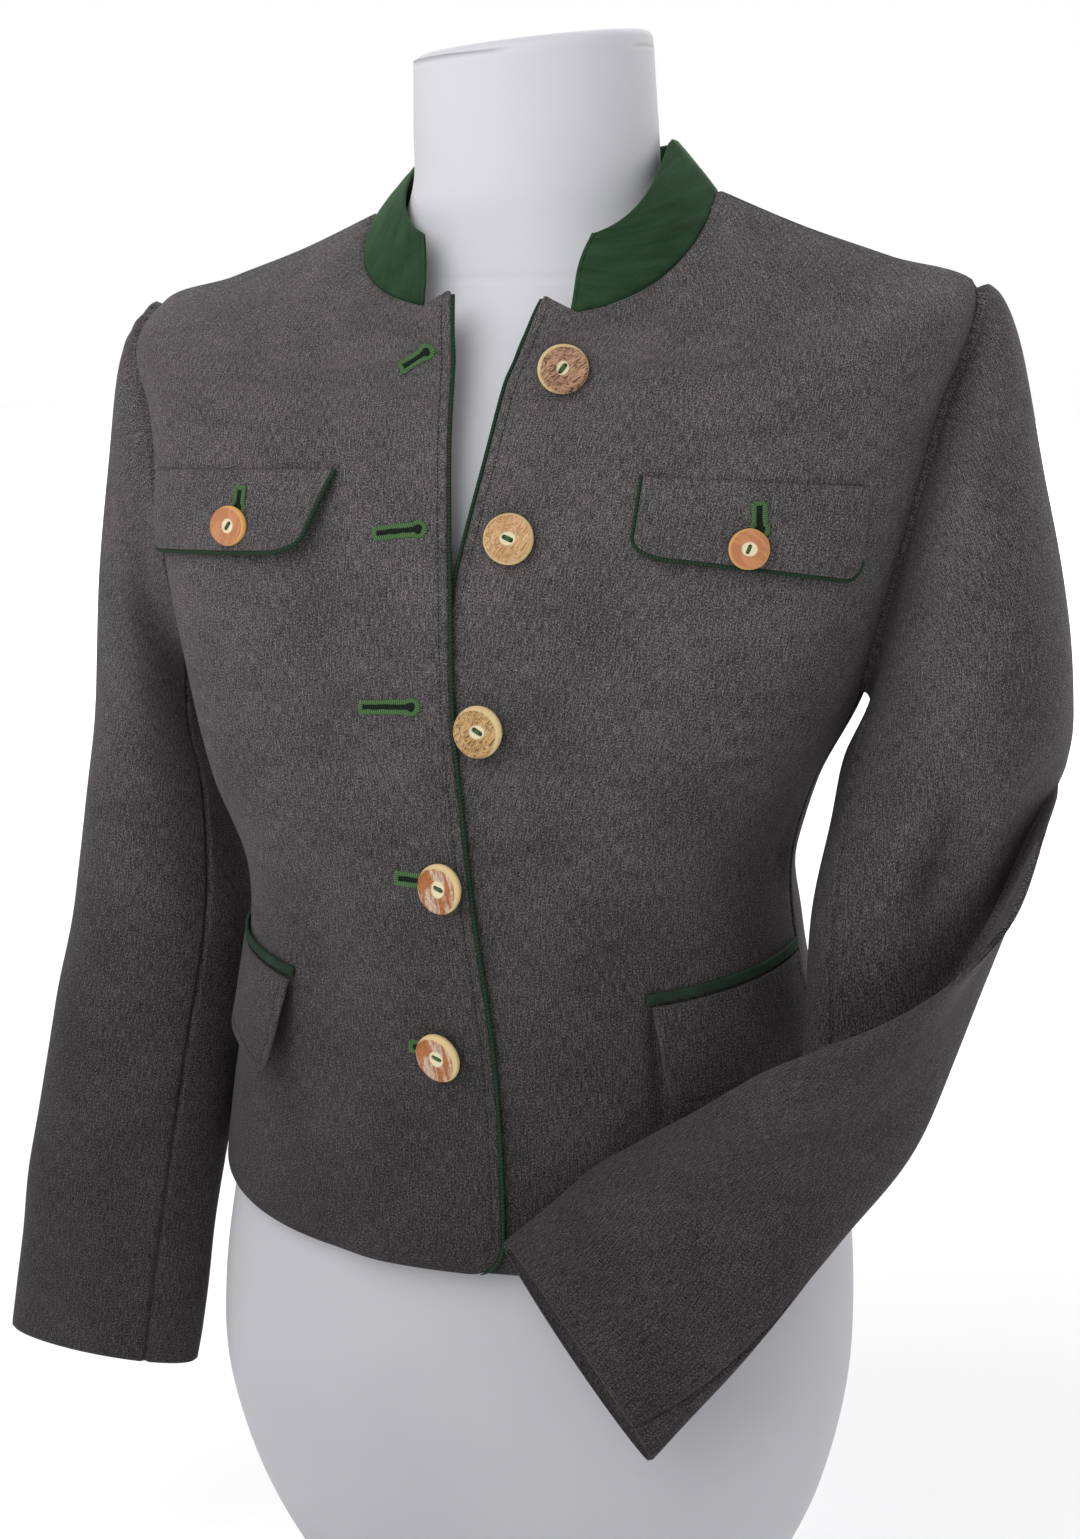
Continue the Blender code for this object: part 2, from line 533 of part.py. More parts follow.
def collar_points(columns=29, rows=4):
    """Grid of the stand collar, from its right end round the back to its left end."""
    t = np.linspace(0, 1, rows)[:, None]
    corner = COLLAR_CORNER * (1 - np.sqrt(1 - np.clip((t - 0.7) / 0.3, 0, 1) ** 2))
    start = -np.radians(COLLAR_RIGHT_END[0] + (COLLAR_RIGHT_END[1] + corner) * t)
    end = np.radians(COLLAR_LEFT_END[0] + (COLLAR_LEFT_END[1] + corner) * t)
    u = np.linspace(0, 1, columns)[None, :]
    theta = start + (end - 2 * math.pi - start) * u
    base = torso(theta, NECK_ROW)
    top = section(np.asarray(COLLAR_TOP, float), theta) + shift_of(theta, 1.0, 1.0)
    hug = np.sin(math.pi * np.clip(-theta / COLLAR_HUG_END, 0, 1)) ** 2
    top[..., :2] *= 1 - COLLAR_HUG * hug[..., None]
    foot = unit(top - base) * (SEAM_GAP + 0.0012)
    points = base + foot + (top - base - foot) * t[..., None]
    return points[:, ::-1]


def button_mesh(name, radius, thickness, turns=20):
    """A turned button: a flat disc with a rounded rim, a sunk middle and an oval thread hole."""
    sunk, rim = thickness * BUTTON_SUNK, thickness * BUTTON_RIM
    well, lip = (radius * share for share in BUTTON_WELL)
    profile = [(0.0, thickness - sunk), (well, thickness - sunk), (lip, thickness),
               (radius - rim, thickness), (radius, thickness - rim), (radius, rim),
               (radius - rim, 0.0), (0.0, 0.0)]
    outline = bpy.data.meshes.new(name)
    steps = [(k, k + 1) for k in range(len(profile) - 1)]
    outline.from_pydata([(x, 0.0, z) for x, z in profile], steps, [])
    blank = bpy.data.objects.new(name, outline)
    bpy.context.scene.collection.objects.link(blank)
    screw = blank.modifiers.new("turn", "SCREW")
    screw.steps = screw.render_steps = turns
    screw.use_merge_vertices, screw.merge_threshold = True, 0.00005
    drill = drill_object(radius, thickness)
    cut = blank.modifiers.new("hole", "BOOLEAN")
    cut.operation, cut.object = "DIFFERENCE", drill
    bpy.context.view_layer.update()
    evaluated = blank.evaluated_get(bpy.context.evaluated_depsgraph_get())
    mesh = bpy.data.meshes.new_from_object(evaluated)
    mesh.name = name
    bpy.data.objects.remove(drill, do_unlink=True)
    bpy.data.objects.remove(blank, do_unlink=True)
    mesh.shade_smooth()
    mesh.set_sharp_from_angle(angle=math.radians(40))
    return mesh


def drill_object(button_radius, depth):
    """An oval cutter for a button's thread hole."""
    half_length, half_width = (button_radius * share for share in THREAD_HOLE)
    mesh = bpy.data.meshes.new("drill")
    shape = bmesh.new()
    bmesh.ops.create_cone(shape, cap_ends=True, segments=12, radius1=1.0, radius2=1.0, depth=depth * 4)
    shape.to_mesh(mesh)
    shape.free()
    drill = bpy.data.objects.new("drill", mesh)
    drill.scale = (half_length, half_width, 1.0)
    bpy.context.scene.collection.objects.link(drill)
    return drill


def place_button(name, mesh, x, height, stand, material, collection):
    """A button whose back lies the given distance off the torso surface."""
    obj = bpy.data.objects.new(name, mesh)
    if not mesh.materials:
        mesh.materials.append(material)
    collection.objects.link(obj)
    v = row_at(height, x=x)
    theta = angle_at(x, v)
    point, normal = Vector(torso(theta, v)), Vector(torso_normal(theta, v))
    turn = normal.to_track_quat("Z", "Y").to_matrix().to_4x4()
    obj.matrix_world = Matrix.Translation(point + normal * stand) @ turn
    return obj


# ---- dress form --------------------------------------------------------------------------------------
def form_rings(columns=28):
    """Level rings of the form, and a sloping cap with a rounded rim on the neck."""
    table = np.array(FORM, float)
    theta = np.linspace(0, 2 * math.pi, columns, endpoint=False)
    rows = [np.array([r[1], r[2], r[0] - WAIST, r[3], r[0] - WAIST, r[4], r[0] - WAIST, r[5], r[6]])
            for r in table]
    rings = np.stack([section(row, theta) for row in rows])
    middle = rings[-1].mean(axis=0)
    caps = []
    rounding = np.array([(0.0, 0.0), (0.7, 0.3), (1.0, 1.0)]) * NECK_CAP_ROUND
    for drop, shrink in rounding:
        ring = rings[-1] + unit(middle - rings[-1]) * shrink
        ring[:, 2] += drop + (ring[:, :2] - middle[:2]) @ np.array(NECK_CAP_SLOPE)
        caps.append(ring)
    return np.concatenate([rings[:-1], np.stack(caps)])


def main():
    """Build every piece."""
    clear_scene()
    jacket = make_collection("tyrolean_jacket")
    loden = make_material("charcoal_loden", (0.065, 0.058, 0.062), 0.9)
    green = make_material("green_felt", (0.028, 0.075, 0.030), 0.95)
    edging = make_material("dark_green_piping", (0.014, 0.045, 0.022), 0.8)
    antler = make_material("antler_button", (0.45, 0.27, 0.13), 0.5)
    white = make_material("form_cover", (0.62, 0.62, 0.65), 0.6)

    lofted_solid("dress_form", form_rings(), white, jacket)
    for side, word in ((-1, "right"), (1, "left")):
        sheet(f"front_{word}", front_points(side), CLOTH, loden, jacket)
        cord(f"piping_front_{word}", edge_line(side), PIPING_RADIUS, edging, jacket)
        sheet(f"back_{word}", back_points(side), CLOTH, loden, jacket)
        rows = 23 if side > 0 else 13
        sheet(f"sleeve_{word}_top", sleeve_piece(side, False, 11, rows), CLOTH, loden, jacket)
        sheet(f"sleeve_{word}_under", sleeve_piece(side, True, 10, rows), CLOTH, loden, jacket)
    sheet("collar", collar_points(), GREEN_CLOTH, green, jacket, inwards=True)
    for name, cut in FLAPS.items():
        side = np.sign(cut.inner_top[0])
        sheet(name, flap_points(cut, side), CLOTH, loden, jacket)
        if name.startswith("chest"):
            cord_name = name.replace("chest_flap", "piping_chest")
            cord(cord_name, flap_edge(cut, side), PIPING_RADIUS, edging, jacket)
    for name, ends in WELTS.items():
        sheet(name, welt_points(ends, np.sign(ends[0][0])), CLOTH * 0.9, green, jacket)

    large = button_mesh("front_button", BUTTON_RADIUS, BUTTON_THICKNESS)
    small = button_mesh("flap_button", FLAP_BUTTON_RADIUS, FLAP_BUTTON_THICKNESS)
    for number, (x, height) in enumerate(FRONT_BUTTONS, start=1):
        stand = BUTTON_STAND + (LAP_LIFT if number > LAST_BELOW_LAP else 0.0)
        place_button(f"button_{number}", large, x, height, stand, antler, jacket)
    for name, (x, height) in FLAP_BUTTONS.items():
        place_button(name, small, x, height, FLAP_BUTTON_STAND, antler, jacket)


main()
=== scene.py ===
"""Short charcoal loden jacket with a green stand collar, shown on a limbless dress form.

Every length is in metres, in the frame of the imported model: +Z is up, the front faces -Y and
the wearer's left is +X. Heights in the tables count from the waist. Each cloth piece is a
surface of two parameters, worked out on a numpy grid with its folds, rolled edges and seam
grooves, and then given its wall.
"""
from __future__ import annotations

import logging
import math
from dataclasses import dataclass, field
from enum import Enum
from typing import NamedTuple, Sequence

import bpy
import numpy as np
from bpy.types import Material, Mesh, Node, NodeSocket, NodeTree, Object
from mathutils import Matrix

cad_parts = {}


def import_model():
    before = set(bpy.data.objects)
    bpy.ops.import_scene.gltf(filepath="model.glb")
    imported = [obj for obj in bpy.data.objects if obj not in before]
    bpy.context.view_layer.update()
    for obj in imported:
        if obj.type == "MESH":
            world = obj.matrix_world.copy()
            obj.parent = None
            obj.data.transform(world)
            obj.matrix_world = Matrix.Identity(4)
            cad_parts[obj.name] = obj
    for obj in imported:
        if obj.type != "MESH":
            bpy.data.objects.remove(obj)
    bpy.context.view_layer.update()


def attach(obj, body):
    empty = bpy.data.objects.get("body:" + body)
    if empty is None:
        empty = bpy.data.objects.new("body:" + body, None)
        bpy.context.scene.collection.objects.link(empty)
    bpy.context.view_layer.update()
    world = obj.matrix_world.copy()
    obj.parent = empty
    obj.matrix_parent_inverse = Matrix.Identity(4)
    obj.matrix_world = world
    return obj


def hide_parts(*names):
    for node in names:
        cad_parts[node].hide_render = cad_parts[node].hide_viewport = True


Array = np.ndarray
log = logging.getLogger("jacket")

WAIST = 0.390             # height of the waist above the form's underside
CLOTH = 0.0018            # wall of the loden
GREEN_CLOTH = 0.0022      # wall of the collar's felt
LAP_LIFT = 0.0034         # how far the upper front stands over the lower one
PIPING_RADIUS = 0.0010
TUBE_MAP = 0.006          # breadth that a cord's or thread's girth takes on its flat map
ARMPIT_ROW, SHOULDER_ROW, NECK_ROW = 5.0, 8.0, 11.0


class Side(Enum):
    """The wearer's two sides; the value is the sign of x."""

    RIGHT = -1
    LEFT = 1

    @property
    def word(self) -> str:
        """The side's name as the pieces carry it."""
        return self.name.lower()


# ---- mathematics ----
def smooth(t: Array) -> Array:
    """Smooth step from 0 to 1: three t squared less two t cubed."""
    t = np.clip(t, 0.0, 1.0)
    return t * t * (3 - 2 * t)


def unit(vectors: Array) -> Array:
    """Vectors scaled to length one."""
    return vectors / np.maximum(np.linalg.norm(vectors, axis=-1, keepdims=True), 1e-12)


def catmull(table: Array, v: Array) -> Array:
    """Rows of a table blended by a Catmull-Rom curve.

    Args:
        table: one row for each section.
        v: row numbers, counted from 0, whole or between rows.

    Returns:
        The blended rows, in the shape of v with the table's columns last.
    """
    rows = np.asarray(table, float)
    v = np.clip(np.asarray(v, float), 0.0, len(rows) - 1.0)
    i = np.minimum(v.astype(int), len(rows) - 2)
    t = (v - i)[..., None]
    p0, p1 = rows[np.maximum(i - 1, 0)], rows[i]
    p2, p3 = rows[i + 1], rows[np.minimum(i + 2, len(rows) - 1)]
    return 0.5 * (2 * p1 + (p2 - p0) * t + (2 * p0 - 5 * p1 + 4 * p2 - p3) * t ** 2
                  + (3 * p1 - p0 - 3 * p2 + p3) * t ** 3)


def superellipse(row: Array, theta: Array) -> Array:
    """Points of a body section: a superellipse whose front, side and back have own heights.

    Across is the half width times sin(theta) to the power 2/n; along is cos(theta) to the
    power 2/n, and carries both y and z from the side's values to the front's or the back's.

    Args:
        row: half width, side y and z, front y and z, back y and z, front and back powers.
        theta: angles from the front towards the wearer's left.

    Returns:
        The points, z counted from the waist.
    """
    (width, side_y, side_z, front_y, front_z,
     back_y, back_z, front_n, back_n) = np.moveaxis(row, -1, 0)
    front = np.cos(theta) > 0
    n = np.where(front, front_n, back_n)
    end_y, end_z = np.where(front, front_y, back_y), np.where(front, front_z, back_z)
    across = np.sign(np.sin(theta)) * np.abs(np.sin(theta)) ** (2 / n)
    along = np.abs(np.cos(theta)) ** (2 / n)
    return np.stack([width * across, side_y + (end_y - side_y) * along,
                     side_z + (end_z - side_z) * along], axis=-1)


def grid_normals(points: Array, sign: float = 1.0) -> Array:
    """Unit normals of a grid of points: the cross product of its two directions.

    Args:
        points: the grid.
        sign: -1 turns the normals over.

    Returns:
        One normal for each point.
    """
    across = np.gradient(points, axis=1)
    along = np.gradient(points, axis=0)
    return unit(np.cross(across, along)) * sign


def run_length(points: Array, axis: int) -> Array:
    """Distance run along a grid's rows or columns, from its first line.

    Args:
        points: the grid.
        axis: 0 runs down the columns, 1 along the rows.

    Returns:
        One distance for each point.
    """
    steps = np.linalg.norm(np.diff(points, axis=axis), axis=-1)
    pad = [(1, 0), (0, 0)] if axis == 0 else [(0, 0), (1, 0)]
    return np.cumsum(np.pad(steps, pad), axis=axis)


def line_run(line: Array) -> Array:
    """Distance run along a line to each of its points: the sum of its steps' lengths."""
    return np.concatenate([[0], np.cumsum(np.linalg.norm(np.diff(line, axis=0), axis=1))])


def along_line(values: Array, run: Array, at: Array) -> Array:
    """Points or directions of a line, interpolated straight at the runs asked for."""
    return np.stack([np.interp(at, run, values[:, k]) for k in range(3)], axis=-1)


def resample(line: Array, step: float) -> Array:
    """Points along a line at an even distance close to the step.

    Args:
        line: the line's points.
        step: the distance wished for.

    Returns:
        The new points.
    """
    run = line_run(line)
    count = max(2, int(round(run[-1] / step)) + 1)
    return along_line(line, run, np.linspace(0, run[-1], count))


def distance_to_line(points: Array, line: Array) -> Array:
    """Distance from each point to a line: to its nearest vertex, then its two segments.

    Args:
        points: where the distance is wanted.
        line: the line's vertices.

    Returns:
        One distance for each point.
    """
    flat = points.reshape(-1, 3)
    square = (flat ** 2).sum(1)[:, None] + (line ** 2).sum(1)[None] - 2 * flat @ line.T
    nearest = square.argmin(axis=1)
    best = np.full(len(flat), np.inf)
    for first in (nearest - 1, nearest):
        first = np.clip(first, 0, len(line) - 2)
        start, along = line[first], line[first + 1] - line[first]
        t = np.clip(((flat - start) * along).sum(1) / np.maximum((along ** 2).sum(1), 1e-18), 0, 1)
        best = np.minimum(best, np.linalg.norm(flat - start - along * t[:, None], axis=1))
    return best.reshape(points.shape[:-1])


def ripple(x: Array, y: Array, seed: int, octaves: int = 3) -> Array:
    """Seeded soft unevenness between about -1 and 1: a sum of turned sine waves.

    Args:
        x: place in the pattern, in units of its widest waves.
        y: the same, across.
        seed: settles the pattern.
        octaves: how many layers, each twice as fine.

    Returns:
        The unevenness at each place.
    """
    chance = np.random.default_rng(seed)
    total = np.zeros(np.broadcast(x, y).shape)
    for octave in range(octaves):
        for angle, phase in chance.uniform(0, 2 * math.pi, (4, 2)):
            k = 2.0 ** octave
            total += np.sin(k * (x * math.cos(angle) + y * math.sin(angle)) + phase) / (k * 2.5)
    return total


class Fold(NamedTuple):
    """A soft ridge (rise above 0) or trough (below 0) between two points of the front view."""

    start: tuple[float, float]
    end: tuple[float, float]
    width: float
    rise: float


def fold_rise(points: Array, folds: Sequence[Fold]) -> Array:
    """How far the folds move each point: a bell across each fold that fades at its ends.

    Args:
        points: the surface's points.
        folds: ridges and troughs, in breadth x and height from the waist.

    Returns:
        One distance along the normal for each point.
    """
    flat = points[..., (0, 2)] - (0, WAIST)
    total = np.zeros(points.shape[:-1])
    for fold in folds:
        start, along = np.array(fold.start), np.subtract(fold.end, fold.start)
        t = np.clip(((flat - start) @ along) / (along @ along), 0, 1)
        off = np.linalg.norm(flat - start - t[..., None] * along, axis=-1)
        total += fold.rise * np.sin(math.pi * (0.1 + 0.8 * t)) * np.exp(-(off / fold.width) ** 2)
    return total


# ---- meshes ----
@dataclass
class Shape:
    """A mesh in numbers: points, quads, triangles and a flat map in metres for each point."""

    points: Array
    quads: Array
    tris: Array = field(default_factory=lambda: np.empty((0, 3), int))
    flat: Array | None = None
    parts: Array | None = None     # shares of three parts at each point, for a finish to read

    def joined(self, other: Shape) -> Shape:
        """This shape and another as one.

        Args:
            other: a shape with a flat map.

        Returns:
            The new shape.
        """
        count = len(self.points)
        return Shape(np.concatenate([self.points, other.points]),
                     np.concatenate([self.quads, other.quads + count]),
                     np.concatenate([self.tris, other.tris + count]),
                     np.concatenate([self.flat, other.flat]))

    def mesh(self, name: str) -> Mesh:
        """The Blender mesh, smooth, with its flat map as the UV map called cloth.

        Args:
            name: the mesh's name.

        Returns:
            The mesh.
        """
        mesh = bpy.data.meshes.new(name)
        corners = np.concatenate([self.quads.ravel(), self.tris.ravel()]).astype(np.int32)
        sizes = np.concatenate([np.full(len(self.quads), 4), np.full(len(self.tris), 3)])
        mesh.vertices.add(len(self.points))
        mesh.vertices.foreach_set("co", self.points.astype(np.float32).ravel())
        mesh.loops.add(len(corners))
        mesh.loops.foreach_set("vertex_index", corners)
        mesh.polygons.add(len(sizes))
        starts = np.concatenate([[0], np.cumsum(sizes)[:-1]]).astype(np.int32)
        mesh.polygons.foreach_set("loop_start", starts)
        mesh.update(calc_edges=True)
        mesh.shade_smooth()
        if self.flat is not None:
            layer = mesh.uv_layers.new(name="cloth")
            layer.data.foreach_set("uv", self.flat[corners].astype(np.float32).ravel())
        if self.parts is not None:
            marks = mesh.attributes.new("parts", "FLOAT_VECTOR", "POINT")
            marks.data.foreach_set("vector", self.parts.astype(np.float32).ravel())
        mesh.validate()
        return mesh


def grid_quads(rows: int, columns: int, round_it: bool = False, flip: bool = False) -> Array:
    """Quads of a grid stored row by row; round_it joins the last column to the first.

    Args:
        rows: rows of the grid.
        columns: columns of the grid.
        round_it: whether the grid closes on itself.
        flip: whether the faces turn the other way.

    Returns:
        The quads.
    """
    i, j = np.meshgrid(np.arange(rows - 1), np.arange(columns if round_it else columns - 1),
                       indexing="ij")
    k = (j + 1) % columns
    quads = np.stack([i * columns + j, i * columns + k,
                      (i + 1) * columns + k, (i + 1) * columns + j], axis=-1).reshape(-1, 4)
    return quads[:, ::-1] if flip else quads


def end_fans(rows: int, sides: int, flip: bool = False) -> Array:
    """Triangles that close both ends of a round grid: a fan from each end row to its pole.

    Args:
        rows: rows of the grid.
        sides: points in each row.
        flip: whether the faces turn the other way.

    Returns:
        The triangles; the two poles are the points stored after the grid.
    """
    j = np.arange(sides)
    k, base, count = (j + 1) % sides, (rows - 1) * sides, rows * sides
    fans = np.concatenate([np.stack([k, j, np.full(sides, count)], axis=-1),
                           np.stack([base + j, base + k, np.full(sides, count + 1)], axis=-1)])
    return fans[:, (1, 0, 2)] if flip else fans


def tube(line: Array, radius: float | Array, sides: int = 10, up: Array | None = None,
         closed: bool = False, flatten: float = 1.0) -> Shape:
    """A round tube along a line: a circle carried square to it, with domed ends.

    Args:
        line: the centre line.
        radius: one radius, or one for each point.
        sides: corners of the circle.
        up: a direction for each point that the flattened side faces.
        closed: whether the line joins up with itself.
        flatten: thickness across up as a share of the breadth.

    Returns:
        The tube, its map running along the line in metres.
    """
    if closed:
        along = unit(np.roll(line, -1, axis=0) - np.roll(line, 1, axis=0))
    else:
        along = unit(np.gradient(line, axis=0))
    up = np.broadcast_to(np.array([0.0, -1.0, 0.01]) if up is None else up, line.shape)
    side = unit(np.cross(along, up))
    up = np.cross(side, along)
    turn = np.linspace(0, 2 * math.pi, sides, endpoint=False)
    radius = np.broadcast_to(radius, len(line))[:, None, None]
    ring = (side[:, None] * np.cos(turn)[None, :, None]
            + up[:, None] * np.sin(turn)[None, :, None] * flatten) * radius
    points = line[:, None] + ring
    run, rows = line_run(line), len(line)
    flat = np.stack(np.broadcast_arrays(turn[None] / (2 * math.pi) * TUBE_MAP, run[:, None]), axis=-1)
    if closed:
        points, flat = np.concatenate([points, points[:1]]), np.concatenate([flat, flat[:1]])
        rows += 1
    shape = Shape(points.reshape(-1, 3), grid_quads(rows, sides, round_it=True),
                  flat=flat.reshape(-1, 2))
    if closed:
        return shape
    ends = np.stack([line[0] - along[0] * radius[0, 0] * 0.5,
                     line[-1] + along[-1] * radius[-1, 0] * 0.5])
    shape.tris = end_fans(rows, sides)
    shape.points = np.concatenate([shape.points, ends])
    shape.flat = np.concatenate([shape.flat, [[0, 0], [0, run[-1]]]])
    return shape


def stitches(line: Array, normal: Array, pitch: float = 0.0027, length: float = 0.0021,
             radius: float = 0.00022) -> Shape:
    """A row of sewn stitches: short beads of thread, each sunk at both ends.

    Args:
        line: the row's path on the cloth.
        normal: the cloth's outward normal along it.
        pitch: distance from stitch to stitch.
        length: what shows of each.
        radius: half the thread's thickness.

    Returns:
        All stitches as one shape.
    """
    run = line_run(line)
    at = np.arange(pitch, run[-1] - pitch, pitch)
    spot = along_line(line, run, at)
    up = unit(along_line(normal, run, at))
    along = unit(along_line(line, run, at + 0.0005) - spot)
    side = np.cross(up, along)
    t = np.linspace(-1, 1, 5)
    turn = np.linspace(0, 2 * math.pi, 6, endpoint=False)
    girth = radius * np.sqrt(np.clip(1 - t ** 4, 0.05, 1))
    centre = (spot[:, None] + along[:, None] * (t * length / 2)[None, :, None]
              + up[:, None] * (radius * (0.5 - 1.1 * t ** 2))[None, :, None])
    ring = (side[:, None, None] * np.cos(turn)[None, None, :, None]
            + up[:, None, None] * np.sin(turn)[None, None, :, None]) * girth[None, :, None, None]
    points = (centre[:, :, None] + ring).reshape(-1, 3)
    caps = np.array([[0, 5, 4, 1], [1, 4, 3, 2], [24, 25, 28, 29], [25, 26, 27, 28]])
    one = np.concatenate([grid_quads(len(t), len(turn), round_it=True), caps])
    quads = (one[None] + (np.arange(len(at)) * len(t) * len(turn))[:, None, None]).reshape(-1, 4)
    return Shape(points, quads, flat=np.zeros((len(points), 2)))


# ---- finishes ----
WAVE = 0.314                       # a wave texture of this scale repeats once a metre


def linear(code: str) -> tuple[float, float, float, float]:
    """An sRGB hex colour as linear light, for a shader's socket.

    Args:
        code: the colour, such as #4d494a.

    Returns:
        Red, green, blue and 1.
    """
    parts = [int(code[k:k + 2], 16) / 255 for k in (1, 3, 5)]
    return (*(c / 12.92 if c <= 0.04045 else ((c + 0.055) / 1.055) ** 2.4 for c in parts), 1.0)


def add_node(tree: NodeTree, kind: str, settings: dict | None = None,
             links: dict | None = None) -> Node:
    """Adds a node, gives it its settings and links other nodes into it.

    Args:
        tree: the material's node tree.
        kind: the node's type, without the ShaderNode that each starts with.
        settings: values by property or socket; a hex colour is turned to linear light, and
            "stops" are the positions and colours of a ramp.
        links: the node or the output that feeds each socket.

    Returns:
        The node.
    """
    node = tree.nodes.new(f"ShaderNode{kind}")
    for key, value in (settings or {}).items():
        if key == "stops":
            while len(node.color_ramp.elements) < len(value):
                node.color_ramp.elements.new(0.5)
            for element, (position, code) in zip(node.color_ramp.elements, value):
                element.position, element.color = position, linear(code)
            continue
        value = linear(value) if isinstance(value, str) and value.startswith("#") else value
        if isinstance(key, str) and hasattr(node, key):
            setattr(node, key, value)
        else:
            node.inputs[key].default_value = value
    for key, source in (links or {}).items():
        output = source.outputs[0] if isinstance(source, Node) else source
        tree.links.new(output, node.inputs[key])
    return node


def per_metre(size: float, stretch: float = 1.0) -> tuple[float, float, float]:
    """Scale that gives a pattern features of a real size, drawn out along its second axis."""
    return 1 / size, 1 / (size * stretch), 1 / size


def blank_finish(name: str, sockets: dict) -> tuple[Material, NodeTree, Node]:
    """A new material with its Principled shader.

    Args:
        name: the material's name.
        sockets: values of the shader's sockets.

    Returns:
        The material, its node tree and its shader.
    """
    material = bpy.data.materials.new(name)
    material.use_nodes = True
    shader = material.node_tree.nodes["Principled BSDF"]
    for socket, value in sockets.items():
        shader.inputs[socket].default_value = value
    return material, material.node_tree, shader


def painted_shade_below(tree: NodeTree, colour: Node | NodeSocket, share: float,
                 low: float, high: float) -> NodeSocket:
    """A colour with painted shade that darkens it towards the floor, standing in for light that falls off
    downwards.

    Args:
        tree: the material's node tree.
        colour: the node or the output that gives the colour.
        share: how much of the colour is lost at the lower height and below it.
        low: height where the darkening is full.
        high: height where it ends.

    Returns:
        The output with the darkened colour.
    """
    place = add_node(tree, "TexCoord").outputs["Object"]
    height = add_node(tree, "SeparateXYZ", links={0: place}).outputs["Z"]
    lost = add_node(tree, "MapRange",
                    {"interpolation_type": "SMOOTHSTEP", 1: low, 2: high, 3: share, 4: 0.0}, {0: height})
    return add_node(tree, "Mix", {"data_type": "RGBA", "blend_type": "MULTIPLY", 7: "#000000"},
                    {0: lost, 6: colour}).outputs[2]


@dataclass(frozen=True)
class Loden:
    """Fulled melange wool: dyed and undyed fibres give a soft, streaked, matte face."""

    name: str = "fulled_charcoal_loden"
    dark: str = "#282526"
    middle: str = "#4d494a"
    light: str = "#888283"
    grain: float = 0.0007          # drawn at twice the size of the real fibre tufts so that they show
    streak: float = 0.0008         # warp threads that took the dye unevenly
    cloud: float = 0.045           # patches that were fulled a little more or less
    grain_share: float = 0.69      # how much of the melange each of the three gives
    streak_share: float = 0.24
    cloud_share: float = 0.07
    hem_painted_shade: float = 0.58            # share of painted shade by which the hem is darker than the shoulders
    painted_shade_full_below: float = 0.20        # height below which the painted shade is full
    painted_shade_gone_above: float = 0.66          # height above which there is no painted shade

    def make(self) -> Material:
        """The material: grain and streaks along the warp, faint clouds, painted shade darker towards the
        hem, a felted bump.

        Returns:
            The material.
        """
        material, tree, shader = blank_finish(self.name, {
            "Roughness": 0.95, "Specular IOR Level": 0.15, "Sheen Weight": 0.10,
            "Sheen Roughness": 0.6, "Sheen Tint": linear("#b8b2b4")})
        place = add_node(tree, "UVMap", {"uv_map": "cloth"})
        noises = []
        for size, stretch, detail, roughness in ((self.grain, 1.3, 3.0, 0.75),
                                                 (self.streak, 9.0, 2.0, 0.6),
                                                 (self.cloud, 1.0, 3.0, 0.5)):
            sized = add_node(tree, "Mapping", {"Scale": per_metre(size, stretch)}, {"Vector": place})
            noises.append(add_node(tree, "TexNoise",
                                   {"Scale": 1.0, "Detail": detail, "Roughness": roughness},
                                   {"Vector": sized}))
        grain, streak, cloud = noises
        clouded = add_node(tree, "Math", {"operation": "MULTIPLY", 1: self.cloud_share}, {0: cloud})
        streaked = add_node(tree, "Math",
                            {"operation": "MULTIPLY_ADD", 1: self.streak_share}, {0: streak, 2: clouded})
        total = add_node(tree, "Math",
                         {"operation": "MULTIPLY_ADD", 1: self.grain_share}, {0: grain, 2: streaked})
        melange = add_node(tree, "ValToRGB",
                           {"stops": ((0.42, self.dark), (0.50, self.middle), (0.60, self.light))},
                           {"Fac": total})
        # painted shade: the melange darkens from the shoulders down to the hem
        tree.links.new(painted_shade_below(tree, melange, self.hem_painted_shade, self.painted_shade_full_below, self.painted_shade_gone_above),
                       shader.inputs["Base Color"])
        ribs = add_node(tree, "Bump", {"Strength": 0.15, "Distance": 0.0002}, {"Height": streak})
        felted = add_node(tree, "Bump", {"Strength": 0.2, "Distance": 0.0002},
                          {"Height": grain, "Normal": ribs})
        tree.links.new(felted.outputs[0], shader.inputs["Normal"])
        return material


